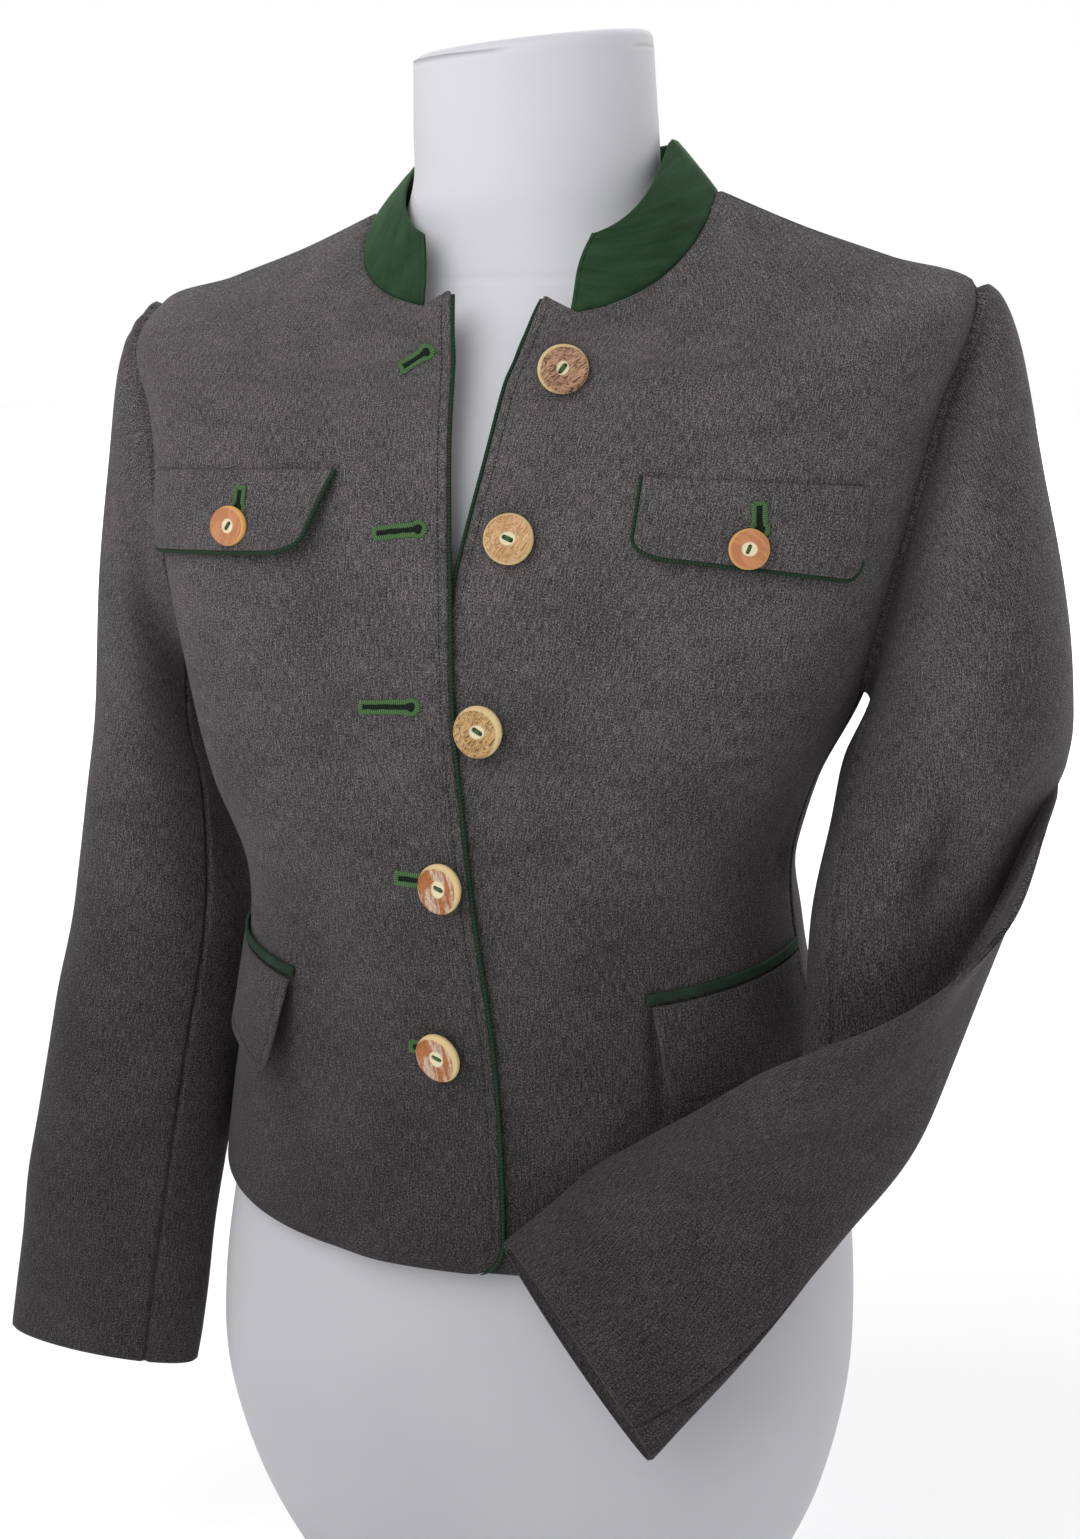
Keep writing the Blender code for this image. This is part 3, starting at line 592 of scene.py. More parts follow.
@dataclass(frozen=True)
class Felt:
    """Green wool felt: fine short pile that pales where it is seen at a slant."""

    name: str
    deep: str
    pale: str
    glow: str                      # tint of the sheen
    sheen: float
    pile: float = 0.0008           # drawn at about twice the size of the real pile's tufts
    brushed: float = 0.014         # patches that the brush laid one way

    def make(self) -> Material:
        """The material: brushed clouds, fine pile and a tinted sheen.

        Returns:
            The material.
        """
        material, tree, shader = blank_finish(self.name, {
            "Roughness": 0.9, "Specular IOR Level": 0.12, "Sheen Weight": self.sheen,
            "Sheen Roughness": 0.35, "Sheen Tint": linear(self.glow)})
        place = add_node(tree, "UVMap", {"uv_map": "cloth"})
        noises = []
        for size, stretch, roughness in ((self.pile, 1.3, 0.7), (self.brushed, 1.4, 0.6)):
            sized = add_node(tree, "Mapping", {"Scale": per_metre(size, stretch)}, {"Vector": place})
            noises.append(add_node(tree, "TexNoise",
                                   {"Scale": 1.0, "Detail": 3.0, "Roughness": roughness},
                                   {"Vector": sized}))
        pile, cloud = noises
        clouded = add_node(tree, "Math", {"operation": "MULTIPLY", 1: 0.6}, {0: cloud})
        both = add_node(tree, "Math", {"operation": "MULTIPLY_ADD", 1: 0.4}, {0: pile, 2: clouded})
        colour = add_node(tree, "ValToRGB",
                          {"stops": ((0.38, self.deep), (0.62, self.pale))}, {"Fac": both})
        tree.links.new(colour.outputs[0], shader.inputs["Base Color"])
        napped = add_node(tree, "Bump", {"Strength": 0.45, "Distance": 0.0003}, {"Height": pile})
        tree.links.new(napped.outputs[0], shader.inputs["Normal"])
        return material


@dataclass(frozen=True)
class Twine:
    """Spun thread or cord: twisted plies that catch the light across their length."""

    name: str
    shade: str
    lit: str
    ply: float                     # distance from twist to twist, drawn coarser than the real thread's
    roughness: float = 0.7

    def make(self) -> Material:
        """The material: slanting plies in colour and bump.

        Returns:
            The material.
        """
        material, tree, shader = blank_finish(
            self.name, {"Roughness": self.roughness, "Specular IOR Level": 0.25})
        place = add_node(tree, "UVMap", {"uv_map": "cloth"})
        slant = add_node(tree, "Mapping", {"Rotation": (0, 0, 0.3)}, {"Vector": place})
        plies = add_node(tree, "TexWave",
                         {"bands_direction": "Y", "Scale": WAVE / self.ply, "Distortion": 1.4,
                          "Detail": 1.0, "Detail Scale": 2.0}, {"Vector": slant}).outputs["Fac"]
        colour = add_node(tree, "Mix", {"data_type": "RGBA", 6: self.shade, 7: self.lit}, {0: plies})
        tree.links.new(colour.outputs[2], shader.inputs["Base Color"])
        twisted = add_node(tree, "Bump", {"Strength": 0.6, "Distance": 0.0003}, {"Height": plies})
        tree.links.new(twisted.outputs[0], shader.inputs["Normal"])
        return material


@dataclass(frozen=True)
class Antler:
    """Cut stag antler: a furrowed crust round a pale core, its rim sanded to a satin cream."""

    name: str
    crust: str
    stripe: str                    # the colour of broad bands along the grain
    furrow: str
    depth: float                   # how strongly the furrows show
    bands: float = 0.5             # how strongly the bands show
    core: str = "#efe3bd"
    rim: str = "#e3c891"
    slot_painted_shade: str = "#2b2016"        # painted shade: the dark colour laid in the sunk slot
    band_width: float = 0.30       # widths of bands and furrows, in button radii
    furrow_width: float = 0.14

    def make(self) -> Material:
        """The material: bands and furrows along the grain, then core, rim and the slot's painted shade
        over them.

        The flat map counts button radii, with y along the grain, and the attribute "parts"
        marks how much of each point is core, rim and slot.

        Returns:
            The material.
        """
        material, tree, shader = blank_finish(
            self.name, {"Roughness": 0.42, "Specular IOR Level": 0.4})
        place = add_node(tree, "UVMap", {"uv_map": "cloth"})
        broad = add_node(tree, "Mapping", {"Scale": per_metre(self.band_width, 4.0)}, {"Vector": place})
        band = add_node(tree, "TexNoise", {"Scale": 1.0, "Detail": 3.0, "Distortion": 0.6},
                        {"Vector": broad})
        banded = add_node(tree, "ValToRGB",
                          {"stops": ((0.44, "#000000"), (0.56, "#ffffff"))}, {"Fac": band})
        share = add_node(tree, "Math", {"operation": "MULTIPLY", 1: self.bands}, {0: banded})
        ground = add_node(tree, "Mix", {"data_type": "RGBA", 6: self.crust, 7: self.stripe}, {0: share})
        thin = add_node(tree, "Mapping", {"Scale": per_metre(self.furrow_width, 4.0)},
                        {"Vector": place})
        fibre = add_node(tree, "TexNoise",
                         {"Scale": 1.0, "Detail": 4.0, "Roughness": 0.7, "Distortion": 1.2},
                         {"Vector": thin})
        crack = add_node(tree, "ValToRGB",
                         {"stops": ((0.41, "#ffffff"), (0.47, "#000000"),
                                    (0.54, "#000000"), (0.60, "#ffffff"))}, {"Fac": fibre})
        cut = add_node(tree, "Math", {"operation": "MULTIPLY", 1: self.depth}, {0: crack})
        furrowed = add_node(tree, "Mix", {"data_type": "RGBA", 7: self.furrow},
                            {0: cut, 6: ground.outputs[2]})
        marks = add_node(tree, "Attribute", {"attribute_name": "parts"}).outputs["Vector"]
        parts = add_node(tree, "SeparateXYZ", links={0: marks})
        colour = furrowed.outputs[2]
        # core and rim are the antler's own colours; the slot's dark is painted shade
        for part, shade in (("X", self.core), ("Y", self.rim), ("Z", self.slot_painted_shade)):
            colour = add_node(tree, "Mix", {"data_type": "RGBA", 7: shade},
                              {0: parts.outputs[part], 6: colour}).outputs[2]
        tree.links.new(colour, shader.inputs["Base Color"])
        rough = add_node(tree, "Bump",
                         {"Strength": 0.6 * self.depth, "Distance": 0.0005, "invert": True},
                         {"Height": crack})
        tree.links.new(rough.outputs[0], shader.inputs["Normal"])
        return material


@dataclass(frozen=True)
class Jersey:
    """White knitted cover pulled tight over a hard shell: fine rows of loops, matte."""

    name: str = "white_jersey_cover"
    light: str = "#e6e6ea"
    dark: str = "#d9d9de"
    lower_painted_shade: float = 0.24             # share of painted shade by which the lower part is darker
    lower_shade_full_below: float = 0.25        # height below which that painted shade is full
    lower_shade_gone_above: float = 0.70          # height above which there is no painted shade
    loop: float = 0.0016           # drawn at twice the real height of a row of loops
    cloud: float = 0.10            # patches where the cover is pulled more or less tight

    def make(self) -> Material:
        """The material: a fine knit bump over faint clouds, with painted shade darker towards the floor.

        Returns:
            The material.
        """
        material, tree, shader = blank_finish(
            self.name, {"Roughness": 0.8, "Specular IOR Level": 0.2})
        place = add_node(tree, "TexCoord").outputs["Object"]
        wide = add_node(tree, "Mapping", {"Scale": per_metre(self.cloud)}, {"Vector": place})
        cloud = add_node(tree, "TexNoise", {"Scale": 1.0, "Detail": 2.0}, {"Vector": wide})
        knit = add_node(tree, "TexWave",
                        {"bands_direction": "Z", "Scale": WAVE / self.loop, "Distortion": 1.5,
                         "Detail": 1.0, "Detail Scale": 3.0}, {"Vector": place}).outputs["Fac"]
        colour = add_node(tree, "Mix", {"data_type": "RGBA", 6: self.dark, 7: self.light}, {0: cloud})
        # painted shade: the cover darkens towards the floor
        tree.links.new(painted_shade_below(tree, colour.outputs[2], self.lower_painted_shade, self.lower_shade_full_below, self.lower_shade_gone_above),
                       shader.inputs["Base Color"])
        looped = add_node(tree, "Bump", {"Strength": 0.12, "Distance": 0.0001}, {"Height": knit})
        tree.links.new(looped.outputs[0], shader.inputs["Normal"])
        return material


@dataclass(frozen=True)
class PaintedBoard:
    """A matt-painted studio floor: rolled paint with a faint unevenness."""

    name: str = "matt_white_studio_paint"
    low: str = "#f9f9fa"
    high: str = "#fdfdfd"
    cloud: float = 0.6             # strokes of the roller that dried a little unevenly

    def make(self) -> Material:
        """The material: wide clouds between two near whites.

        Returns:
            The material.
        """
        material, tree, shader = blank_finish(
            self.name, {"Roughness": 0.9, "Specular IOR Level": 0.1})
        place = add_node(tree, "TexCoord").outputs["Object"]
        wide = add_node(tree, "Mapping", {"Scale": per_metre(self.cloud)}, {"Vector": place})
        cloud = add_node(tree, "TexNoise", {"Scale": 1.0, "Detail": 2.0}, {"Vector": wide})
        colour = add_node(tree, "Mix", {"data_type": "RGBA", 6: self.low, 7: self.high}, {0: cloud})
        tree.links.new(colour.outputs[2], shader.inputs["Base Color"])
        return material


class Finish(Enum):
    """The finishes that the pieces share."""

    LODEN = Loden()
    FELT = Felt("bottle_green_felt", "#243a26", "#344f37", "#7fae7f", 0.30)
    WELT = Felt("dark_green_felt_welt", "#222f27", "#2f4236", "#6f9078", 0.10)
    PIPING = Twine("dark_green_cord_piping", "#17271c", "#24402c", 0.0018, 0.8)
    SILK = Twine("green_buttonhole_silk", "#2f4a2c", "#5f8352", 0.0010, 0.75)
    # painted shadow: a near-black strip for the shade inside the cut slit
    SLIT = Twine("shadowed_buttonhole_slit", "#0c130e", "#18261b", 0.0010, 0.9)
    THREAD = Twine("charcoal_sewing_thread", "#2c292b", "#5a5557", 0.0012, 0.7)
    BARK_ANTLER = Antler("furrowed_stag_antler", "#c49a7a", "#a9795c", "#54301f", 0.95)
    PALE_ANTLER = Antler("sanded_stag_antler", "#dcb384", "#c8975f", "#96632f", 0.75)
    FIBRE_ANTLER = Antler("fibrous_stag_antler", "#d6b07a", "#bd9054", "#6b4724", 0.85)
    RUST_ANTLER = Antler("rust_stag_antler", "#d6bba4", "#b5661f", "#6d3a17", 0.60, 0.95)
    HONEY_ANTLER = Antler("polished_honey_antler", "#cf8e62", "#b8754c", "#8f5526", 0.15, 0.7,
                          rim="#dba45c")
    JERSEY = Jersey()

    def material(self) -> Material:
        """The finish's material, made the first time it is asked for."""
        return bpy.data.materials.get(self.value.name) or self.value.make()

    @property
    def slot(self) -> str:
        """The record's material slot that the finish belongs to.

        Returns:
            The slot's name.
        """
        if isinstance(self.value, Antler):
            return "antler_button"
        return {Finish.FELT: "green_felt", Finish.WELT: "green_felt", Finish.SILK: "green_felt",
                Finish.PIPING: "dark_green_piping", Finish.SLIT: "dark_green_piping",
                Finish.JERSEY: "form_cover"}.get(self, "charcoal_loden")


def place_piece(name: str, shape: Shape, finish: Finish, wall: float = 0.0,
                stands_for: Sequence[str] = ()) -> Object:
    """Puts a shape in the scene as a named piece that rides on the root body.

    Args:
        name: the piece's name.
        shape: its mesh in numbers; with a wall, this is the outer face.
        finish: what it is made of.
        wall: thickness of the cloth, laid inwards, or 0 for a shape that is closed already.
        stands_for: the CAD nodes that it replaces.

    Returns:
        The object.
    """
    obj = bpy.data.objects.new(name, shape.mesh(name))
    bpy.context.scene.collection.objects.link(obj)
    obj.data.materials.append(finish.material())
    if wall:
        solid = obj.modifiers.new("wall", "SOLIDIFY")
        solid.thickness, solid.offset = wall, -1.0
    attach(obj, "root")
    if stands_for:
        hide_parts(*stands_for)
    log.info("%s: %d points", name, len(shape.points))
    return obj


# ---- the jacket's body ----
class Section(NamedTuple):
    """One section of the body: half width, then y and z at side, front and back, and powers."""

    half_width: float
    side_y: float
    side_z: float
    front_y: float
    front_z: float
    back_y: float
    back_z: float
    front_power: float
    back_power: float


class Armhole(NamedTuple):
    """Reach of an armhole from the side line, in degrees towards the front and the back."""

    front: float
    back: float


@dataclass(frozen=True)
class BodyShape:
    """The outer surface of the jacket's body, from the hem to the neckline."""

    sections: tuple[Section, ...] = (
        Section(0.175, 0.006, -0.126, -0.127, -0.162, 0.139, -0.136, 2.25, 2.25),    # hem
        Section(0.166, -0.003, -0.086, -0.131, -0.102, 0.121, -0.090, 2.25, 2.25),
        Section(0.153, -0.016, -0.038, -0.137, -0.042, 0.101, -0.038, 2.25, 2.25),
        Section(0.145, -0.025, 0.028, -0.141, 0.024, 0.090, 0.028, 2.30, 2.20),      # waist
        Section(0.159, -0.018, 0.078, -0.138, 0.076, 0.094, 0.080, 2.70, 2.10),
        Section(0.177, -0.010, 0.126, -0.131, 0.122, 0.104, 0.134, 3.00, 2.20),      # armpit
        Section(0.198, 0.000, 0.200, -0.121, 0.190, 0.113, 0.198, 3.00, 2.30),       # chest
        Section(0.213, 0.012, 0.272, -0.108, 0.246, 0.114, 0.255, 2.80, 2.40),
        Section(0.225, 0.018, 0.323, -0.097, 0.279, 0.108, 0.292, 2.60, 2.40),       # shoulder tip
        Section(0.180, 0.014, 0.339, -0.091, 0.292, 0.099, 0.315, 2.50, 2.40),
        Section(0.136, 0.010, 0.354, -0.088, 0.305, 0.088, 0.338, 2.30, 2.30),
        Section(0.093, 0.005, 0.372, -0.084, 0.3155, 0.074, 0.360, 2.10, 2.10),      # neckline
    )
    right_edge: tuple[float, ...] = (0.025, 0.025, 0.023, 0.015, 0.008, 0.001, -0.004, -0.009,
                                     -0.0115, -0.013, -0.0145, -0.016)
    left_edge: tuple[float, ...] = (-0.029, -0.029, -0.029, -0.028, -0.021, -0.013, -0.001, 0.010,
                                    0.0155, 0.019, 0.0225, 0.0265)
    right_armhole: Armhole = Armhole(24.0, 30.0)
    left_armhole: Armhole = Armhole(6.0, 36.0)
    swing: float = 0.0085          # how far the opened left front carries its neckline
    tilt: float = 0.0048           # how far the left shoulder stands above the middle
    sway: float = 0.006            # how far both sides stand towards the wearer's right
    sway_height: float = 0.076     # height from the waist where that is most
    sway_spread: float = 0.035     # how far up and down it fades
    hem_corner: float = 0.018      # radius of a front's lower corner
    folds: tuple[Fold, ...] = (
        Fold((-0.076, 0.331), (-0.061, 0.238), 0.011, 0.0018),
        Fold((-0.092, 0.322), (-0.080, 0.250), 0.010, -0.0012),
        Fold((0.093, 0.338), (0.089, 0.262), 0.011, 0.0016),
        Fold((0.074, 0.330), (0.072, 0.260), 0.011, -0.0012),
        Fold((-0.061, 0.104), (-0.006, 0.054), 0.011, -0.0030),
        Fold((-0.048, 0.124), (0.006, 0.072), 0.011, 0.0022),
        Fold((0.028, 0.058), (0.062, 0.092), 0.011, 0.0026),
        Fold((0.040, 0.046), (0.080, 0.062), 0.010, -0.0022),
        Fold((0.017, 0.101), (0.023, 0.068), 0.008, -0.0028),
        Fold((0.030, 0.004), (0.099, -0.070), 0.018, -0.0030),
        Fold((0.146, 0.060), (0.142, 0.030), 0.014, -0.0035),
        Fold((0.0992, -0.012), (0.1035, -0.082), 0.0040, -0.0045),    # beside the left hip flap
    )

    def shift(self, theta: Array, swing: Array | float, tilt: Array | float) -> Array:
        """Offset of the neck and shoulders: the opened left front's swing and the tilt.

        Args:
            theta: angles round the body.
            swing: share of the front's swing.
            tilt: share of the shoulders' tilt.

        Returns:
            An offset for each angle.
        """
        opened = self.swing * np.clip(np.sin(2 * theta), 0, 1) * (np.cos(theta) > 0) * swing
        raised = self.tilt * np.sin(theta) * tilt
        return np.stack(np.broadcast_arrays(opened, -opened, raised - opened), axis=-1)

    def points(self, theta: Array, v: Array) -> Array:
        """The surface: a superellipse through the sections' blend, shifted at the neck.

        Args:
            theta: angles from the front towards the wearer's left.
            v: row numbers, from the hem up.

        Returns:
            The points.
        """
        theta, v = np.broadcast_arrays(np.asarray(theta, float), np.asarray(v, float))
        swing = smooth((v - SHOULDER_ROW) / (NECK_ROW - SHOULDER_ROW))
        place = superellipse(catmull(self.sections, v), theta)
        near = np.exp(-((place[..., 2] - self.sway_height) / self.sway_spread) ** 2)
        place[..., 0] -= self.sway * near * np.sin(theta) ** 2
        return place + self.shift(theta, swing, smooth(v - SHOULDER_ROW + 1)) + (0, 0, WAIST)

    def normals(self, theta: Array, v: Array) -> Array:
        """Outward unit normals of the surface, from small steps both ways.

        Args:
            theta: angles round the body.
            v: row numbers.

        Returns:
            One normal for each point.
        """
        step = 0.02
        across = self.points(theta + step, v) - self.points(theta - step, v)
        up = (self.points(theta, np.minimum(v + step, NECK_ROW))
              - self.points(theta, np.maximum(v - step, 0)))
        return unit(np.cross(across, up))

    def angle_at(self, x: Array, v: Array) -> Array:
        """Angle round the front at which the section at v has breadth x.

        Args:
            x: breadth, positive towards the wearer's left.
            v: row numbers.

        Returns:
            The angles.
        """
        row = catmull(self.sections, v)
        reach = np.clip(np.abs(x) / row[..., 0], 0, 1) ** (row[..., 7] / 2)
        return np.sign(x) * np.arcsin(reach)

    def row_at(self, height: Array, theta: Array | None = None, x: Array | None = None) -> Array:
        """Row number where the surface reaches a height from the waist, by halving.

        Args:
            height: heights from the waist.
            theta: angles round the body, or none where x is given.
            x: breadths on the front.

        Returns:
            The row numbers.
        """
        low = np.zeros(np.broadcast(height, x if theta is None else theta).shape)
        high = low + NECK_ROW
        for _ in range(30):
            middle = (low + high) / 2
            angle = self.angle_at(x, middle) if theta is None else theta
            above = self.points(angle, middle)[..., 2] > WAIST + height
            low, high = np.where(above, low, middle), np.where(above, middle, high)
        return (low + high) / 2

    def on_front(self, x: Array, height: Array) -> tuple[Array, Array]:
        """Points and normals of the front at given breadths and heights from the waist.

        Args:
            x: breadths.
            height: heights from the waist.

        Returns:
            The points, and their normals.
        """
        x, height = np.broadcast_arrays(np.asarray(x, float), np.asarray(height, float))
        v = self.row_at(height, x=x)
        theta = self.angle_at(x, v)
        return self.points(theta, v), self.normals(theta, v)

    def seam_angle(self, side: Side, v: Array, front: bool) -> Array:
        """Angle of the side seam, the armhole's edge or the shoulder seam at row v.

        Args:
            side: the wearer's side.
            v: row numbers.
            front: whether it is the front's edge or the back's.

        Returns:
            The angles, positive on either side.
        """
        hole = self.left_armhole if side is Side.LEFT else self.right_armhole
        share = np.clip((v - ARMPIT_ROW) / (SHOULDER_ROW - ARMPIT_ROW), 0, 1)
        bulge = np.sin(math.pi * share) ** 0.6
        return math.pi / 2 + (-hole.front if front else hole.back) * math.pi / 180 * bulge

    def edge_breadth(self, side: Side, v: Array) -> Array:
        """Breadth of a front's free edge at row v, turning in at the rounded hem corner.

        Args:
            side: the wearer's side.
            v: row numbers.

        Returns:
            The breadths.
        """
        table = self.left_edge if side is Side.LEFT else self.right_edge
        breadth = catmull(np.array(table)[:, None], v)[..., 0]
        height = self.points(0.0, v)[..., 2] - self.points(0.0, 0.0)[..., 2]
        share = np.clip(1 - height / self.hem_corner, 0, 1)
        return breadth + side.value * self.hem_corner * (1 - np.sqrt(1 - share ** 2))

    def armhole_point(self, side: Side, phi: Array) -> tuple[Array, Array]:
        """Point of the armhole's edge and its normal; phi is 0 at the armpit, 90 in front.

        Args:
            side: the wearer's side.
            phi: angles round the armhole.

        Returns:
            The points, and their normals.
        """
        share = (1 - np.cos(phi)) / 2
        v = ARMPIT_ROW + share * (SHOULDER_ROW - ARMPIT_ROW)
        theta = np.where(np.sin(phi) > 0, self.seam_angle(side, v, True),
                         self.seam_angle(side, v, False))
        return self.points(theta * side.value, v), self.normals(theta * side.value, v)


BODY = BodyShape()


@dataclass(frozen=True)
class Hand:
    """How cloth turns at its borders: rolled free edges and grooves at seams."""

    roll: float = 0.0015           # radius of a turned, pressed edge
    groove: float = 0.0020         # depth of a pressed-open seam
    groove_width: float = 0.0015
    row_depth: float = 0.00028     # how far a row of stitches draws the cloth in
    row_width: float = 0.0007

    def edge(self, distance: Array) -> Array:
        """Drop of a rolled free edge: a quarter circle over the last of the cloth."""
        share = np.clip(1 - distance / self.roll, 0, 1)
        return -self.roll * 0.75 * (1 - np.sqrt(np.clip(1 - share ** 2, 0, 1)))

    def seam(self, distance: Array) -> Array:
        """Drop at a seam: a bell across it."""
        return -self.groove * np.exp(-(distance / self.groove_width) ** 2)

    def row(self, distance: Array) -> Array:
        """Drop along a stitched row: a narrow bell across it."""
        return -self.row_depth * np.exp(-(distance / self.row_width) ** 2)


HAND = Hand()
STITCH_INSET = 0.0052              # how far a stitched row lies from a turned edge
SEAM_FADE = 0.02                   # distance over which folds die away at a seam or an edge


def border_shares(width: float, count: int, fine: float = 0.0075, step: float = 0.0004) -> Array:
    """Shares from 0 to 1 across a piece, with fine steps along both borders.

    Args:
        width: the piece's width.
        count: points between its borders.
        fine: breadth of a border.
        step: distance between a border's points.

    Returns:
        The shares.
    """
    near = np.arange(0, fine, step) / width
    return np.concatenate([near, np.linspace(fine / width, 1 - fine / width, count), 1 - near[::-1]])


def cloth_map(points: Array) -> Array:
    """Flat map of a grid in metres: run along its rows, and mean run up its columns.

    Args:
        points: the grid.

    Returns:
        Two numbers for each point.
    """
    across = run_length(points, 1)
    up = run_length(points, 0).mean(axis=1, keepdims=True)
    return np.stack(np.broadcast_arrays(across, up), axis=-1)


def grid_shape(points: Array, flip: bool) -> Shape:
    """A grid of points as a shape with its own flat map.

    Args:
        points: the grid.
        flip: whether the faces turn the other way.

    Returns:
        The shape.
    """
    rows, columns = points.shape[:2]
    return Shape(points.reshape(-1, 3), grid_quads(rows, columns, flip=flip),
                 flat=cloth_map(points).reshape(-1, 2))


def body_rows(count: int) -> Array:
    """Row numbers of a body panel at even heights, closer together at the hem.

    Args:
        count: points between the borders at hem and neck.

    Returns:
        The row numbers.
    """
    v = np.linspace(0, NECK_ROW, 600)
    run = line_run(BODY.points(0.9, v))
    return np.interp(border_shares(run[-1], count, 0.006, 0.0005) * run[-1], run, v)


@dataclass
class FrontPanel:
    """One front: free edge, side seam, armhole, shoulder seam and neckline."""

    side: Side
    tip_rise: float = 0.010        # how far the neckline's corner stands above the notch
    notch: float = 0.0165          # from the free edge to the end of the collar
    tip_round: float = 0.003
    tip_row: float = 9.8           # row number from which the corner rises
    neck_seam: float = 0.65        # depth of the neck's seam as a share of the others'
    lap_start: float = -0.075      # breadth from which the upper front stands off
    lap_run: float = 0.035         # breadth over which it rises
    lap_end: float = -1.0          # angle round the body where the lap is past
    width: float = 0.24            # its mean breadth
    columns: int = 96
    rows: int = 175

    def lift(self, points: Array, theta: Array) -> Array:
        """How far the upper front stands over the under one, near its free edge.

        Args:
            points: points of the panel.
            theta: their angles.

        Returns:
            One distance for each point.
        """
        if self.side is Side.LEFT:
            return np.zeros(theta.shape)
        return LAP_LIFT * smooth((points[..., 0] - self.lap_start) / self.lap_run) * (theta > self.lap_end)

    def near_tip(self, v: Array) -> Array:
        """Share of the corner's rise at row v: a smooth step up to the neckline."""
        return smooth((v - self.tip_row) / (NECK_ROW - self.tip_row))

    def grid(self) -> tuple[Array, Array, Array]:
        """Points, angles and row numbers of the panel before its folds.

        Returns:
            Three grids: the points, the angles and the row numbers.
        """
        v = body_rows(self.rows)[:, None]
        start = BODY.angle_at(BODY.edge_breadth(self.side, v), v)
        end = self.side.value * BODY.seam_angle(self.side, v, True)
        theta = start + (end - start) * border_shares(self.width, self.columns)
        return BODY.points(theta, v), theta, np.broadcast_to(v, theta.shape)

    def points(self) -> Array:
        """The outer face: the body's surface, moved along its normals by all that shapes it.

        Returns:
            The grid of points.
        """
        base, theta, v = self.grid()
        from_edge = run_length(base, 1)
        seam, neck = base[:, -1], base[-1]
        hem_and_edge = resample(np.concatenate([base[::-1, 0], base[0]]), 0.001)
        off_edge = distance_to_line(base, hem_and_edge)
        off_seam = distance_to_line(base, resample(seam, 0.001))
        off_neck = distance_to_line(base, resample(neck, 0.001))
        fade = smooth(np.minimum(off_seam, off_edge) / SEAM_FADE)
        move = self.lift(base, theta) + fold_rise(base, BODY.folds) * fade
        move += HAND.edge(off_edge) + HAND.seam(off_seam)
        move += HAND.seam(off_neck) * self.neck_seam * (from_edge > self.notch)
        move += HAND.row(np.abs(from_edge - STITCH_INSET))
        move += 0.0004 * fade * ripple(base[..., 0] / 0.03, base[..., 2] / 0.05,
                                       3 + self.side.value)
        points = base + BODY.normals(theta, v) * move[..., None]
        tip = self.tip_rise * np.clip(1 - from_edge / self.notch, 0, 1)
        corner = np.clip(1 - from_edge / self.tip_round, 0, 1)
        tip = tip - self.tip_round * (1 - np.sqrt(1 - corner ** 2))
        points[..., 2] += tip * self.near_tip(v)
        return points

    def edge_line(self, inset: float, lift: float = 0.0) -> tuple[Array, Array]:
        """A line beside the free edge, moved in by an inset, and its normals.

        Args:
            inset: how far in from the edge.
            lift: how far off the cloth's outer face.

        Returns:
            The line's points, and their normals.
        """
        v = body_rows(self.rows)
        theta = BODY.angle_at(BODY.edge_breadth(self.side, v), v)
        edge, normal = BODY.points(theta, v), BODY.normals(theta, v)
        inward = unit(np.cross(np.gradient(edge, axis=0), normal)) * self.side.value
        over = LAP_LIFT if self.side is Side.RIGHT else 0.0
        line = edge + inward * inset + normal * (over + lift)
        line[:, 2] += (self.tip_rise - self.tip_round) * self.near_tip(v)
        return line, normal

    def build(self) -> list[Object]:
        """The panel, its piping and its row of stitches.

        Returns:
            The pieces.
        """
        word = self.side.word
        panel = place_piece(f"front_panel_{word}",
                            grid_shape(self.points(), self.side is Side.RIGHT),
                            Finish.LODEN, CLOTH, (f"front_{word}",))
        line, normal = self.edge_line(-PIPING_RADIUS * 0.75, -CLOTH * 0.45)
        line = resample(line[2:], 0.002)
        girth = PIPING_RADIUS * (0.35 + 0.65 * smooth(np.arange(len(line)) / 4))
        cord = place_piece(f"edge_piping_{word}", tube(line, girth), Finish.PIPING,
                           stands_for=(f"piping_front_{word}",))
        row, normal = self.edge_line(STITCH_INSET)
        sewn = place_piece(f"edge_stitching_{word}", stitches(row[8:-8], normal[8:-8]), Finish.THREAD)
        return [panel, cord, sewn]


@dataclass
class BackPanel:
    """Half the back, from the side seam and armhole to the centre back seam."""

    side: Side
    width: float = 0.24            # its mean breadth
    columns: int = 90
    rows: int = 175

    def points(self) -> Array:
        """The outer face: the body's surface with its seams pressed in.

        Returns:
            The grid of points.
        """
        v = body_rows(self.rows)[:, None]
        start = self.side.value * BODY.seam_angle(self.side, v, False)
        end = self.side.value * math.pi
        theta = start + (end - start) * border_shares(self.width, self.columns)
        base = BODY.points(theta, v)
        v = np.broadcast_to(v, theta.shape)
        seams = [base[:, 0], base[:, -1], base[-1]]
        hem = distance_to_line(base, resample(base[0], 0.001))
        off = np.minimum.reduce([distance_to_line(base, resample(seam, 0.001)) for seam in seams])
        fade = smooth(np.minimum(off, hem) / SEAM_FADE)
        move = HAND.seam(off) + HAND.edge(hem)
        move += 0.0006 * fade * ripple(base[..., 0] / 0.035, base[..., 2] / 0.05,
                                       11 + self.side.value)
        height = base[..., 2] - WAIST
        move += fade * 0.0012 * np.cos(height / 0.011) * np.exp(-((height - 0.035) / 0.03) ** 2)
        return base + BODY.normals(theta, v) * move[..., None]

    def build(self) -> Object:
        """The panel as a piece.

        Returns:
            The piece.
        """
        word = self.side.word
        panel = place_piece(f"back_panel_{word}", grid_shape(self.points(), self.side is Side.RIGHT),
                            Finish.LODEN, CLOTH, (f"back_{word}",))
        return panel


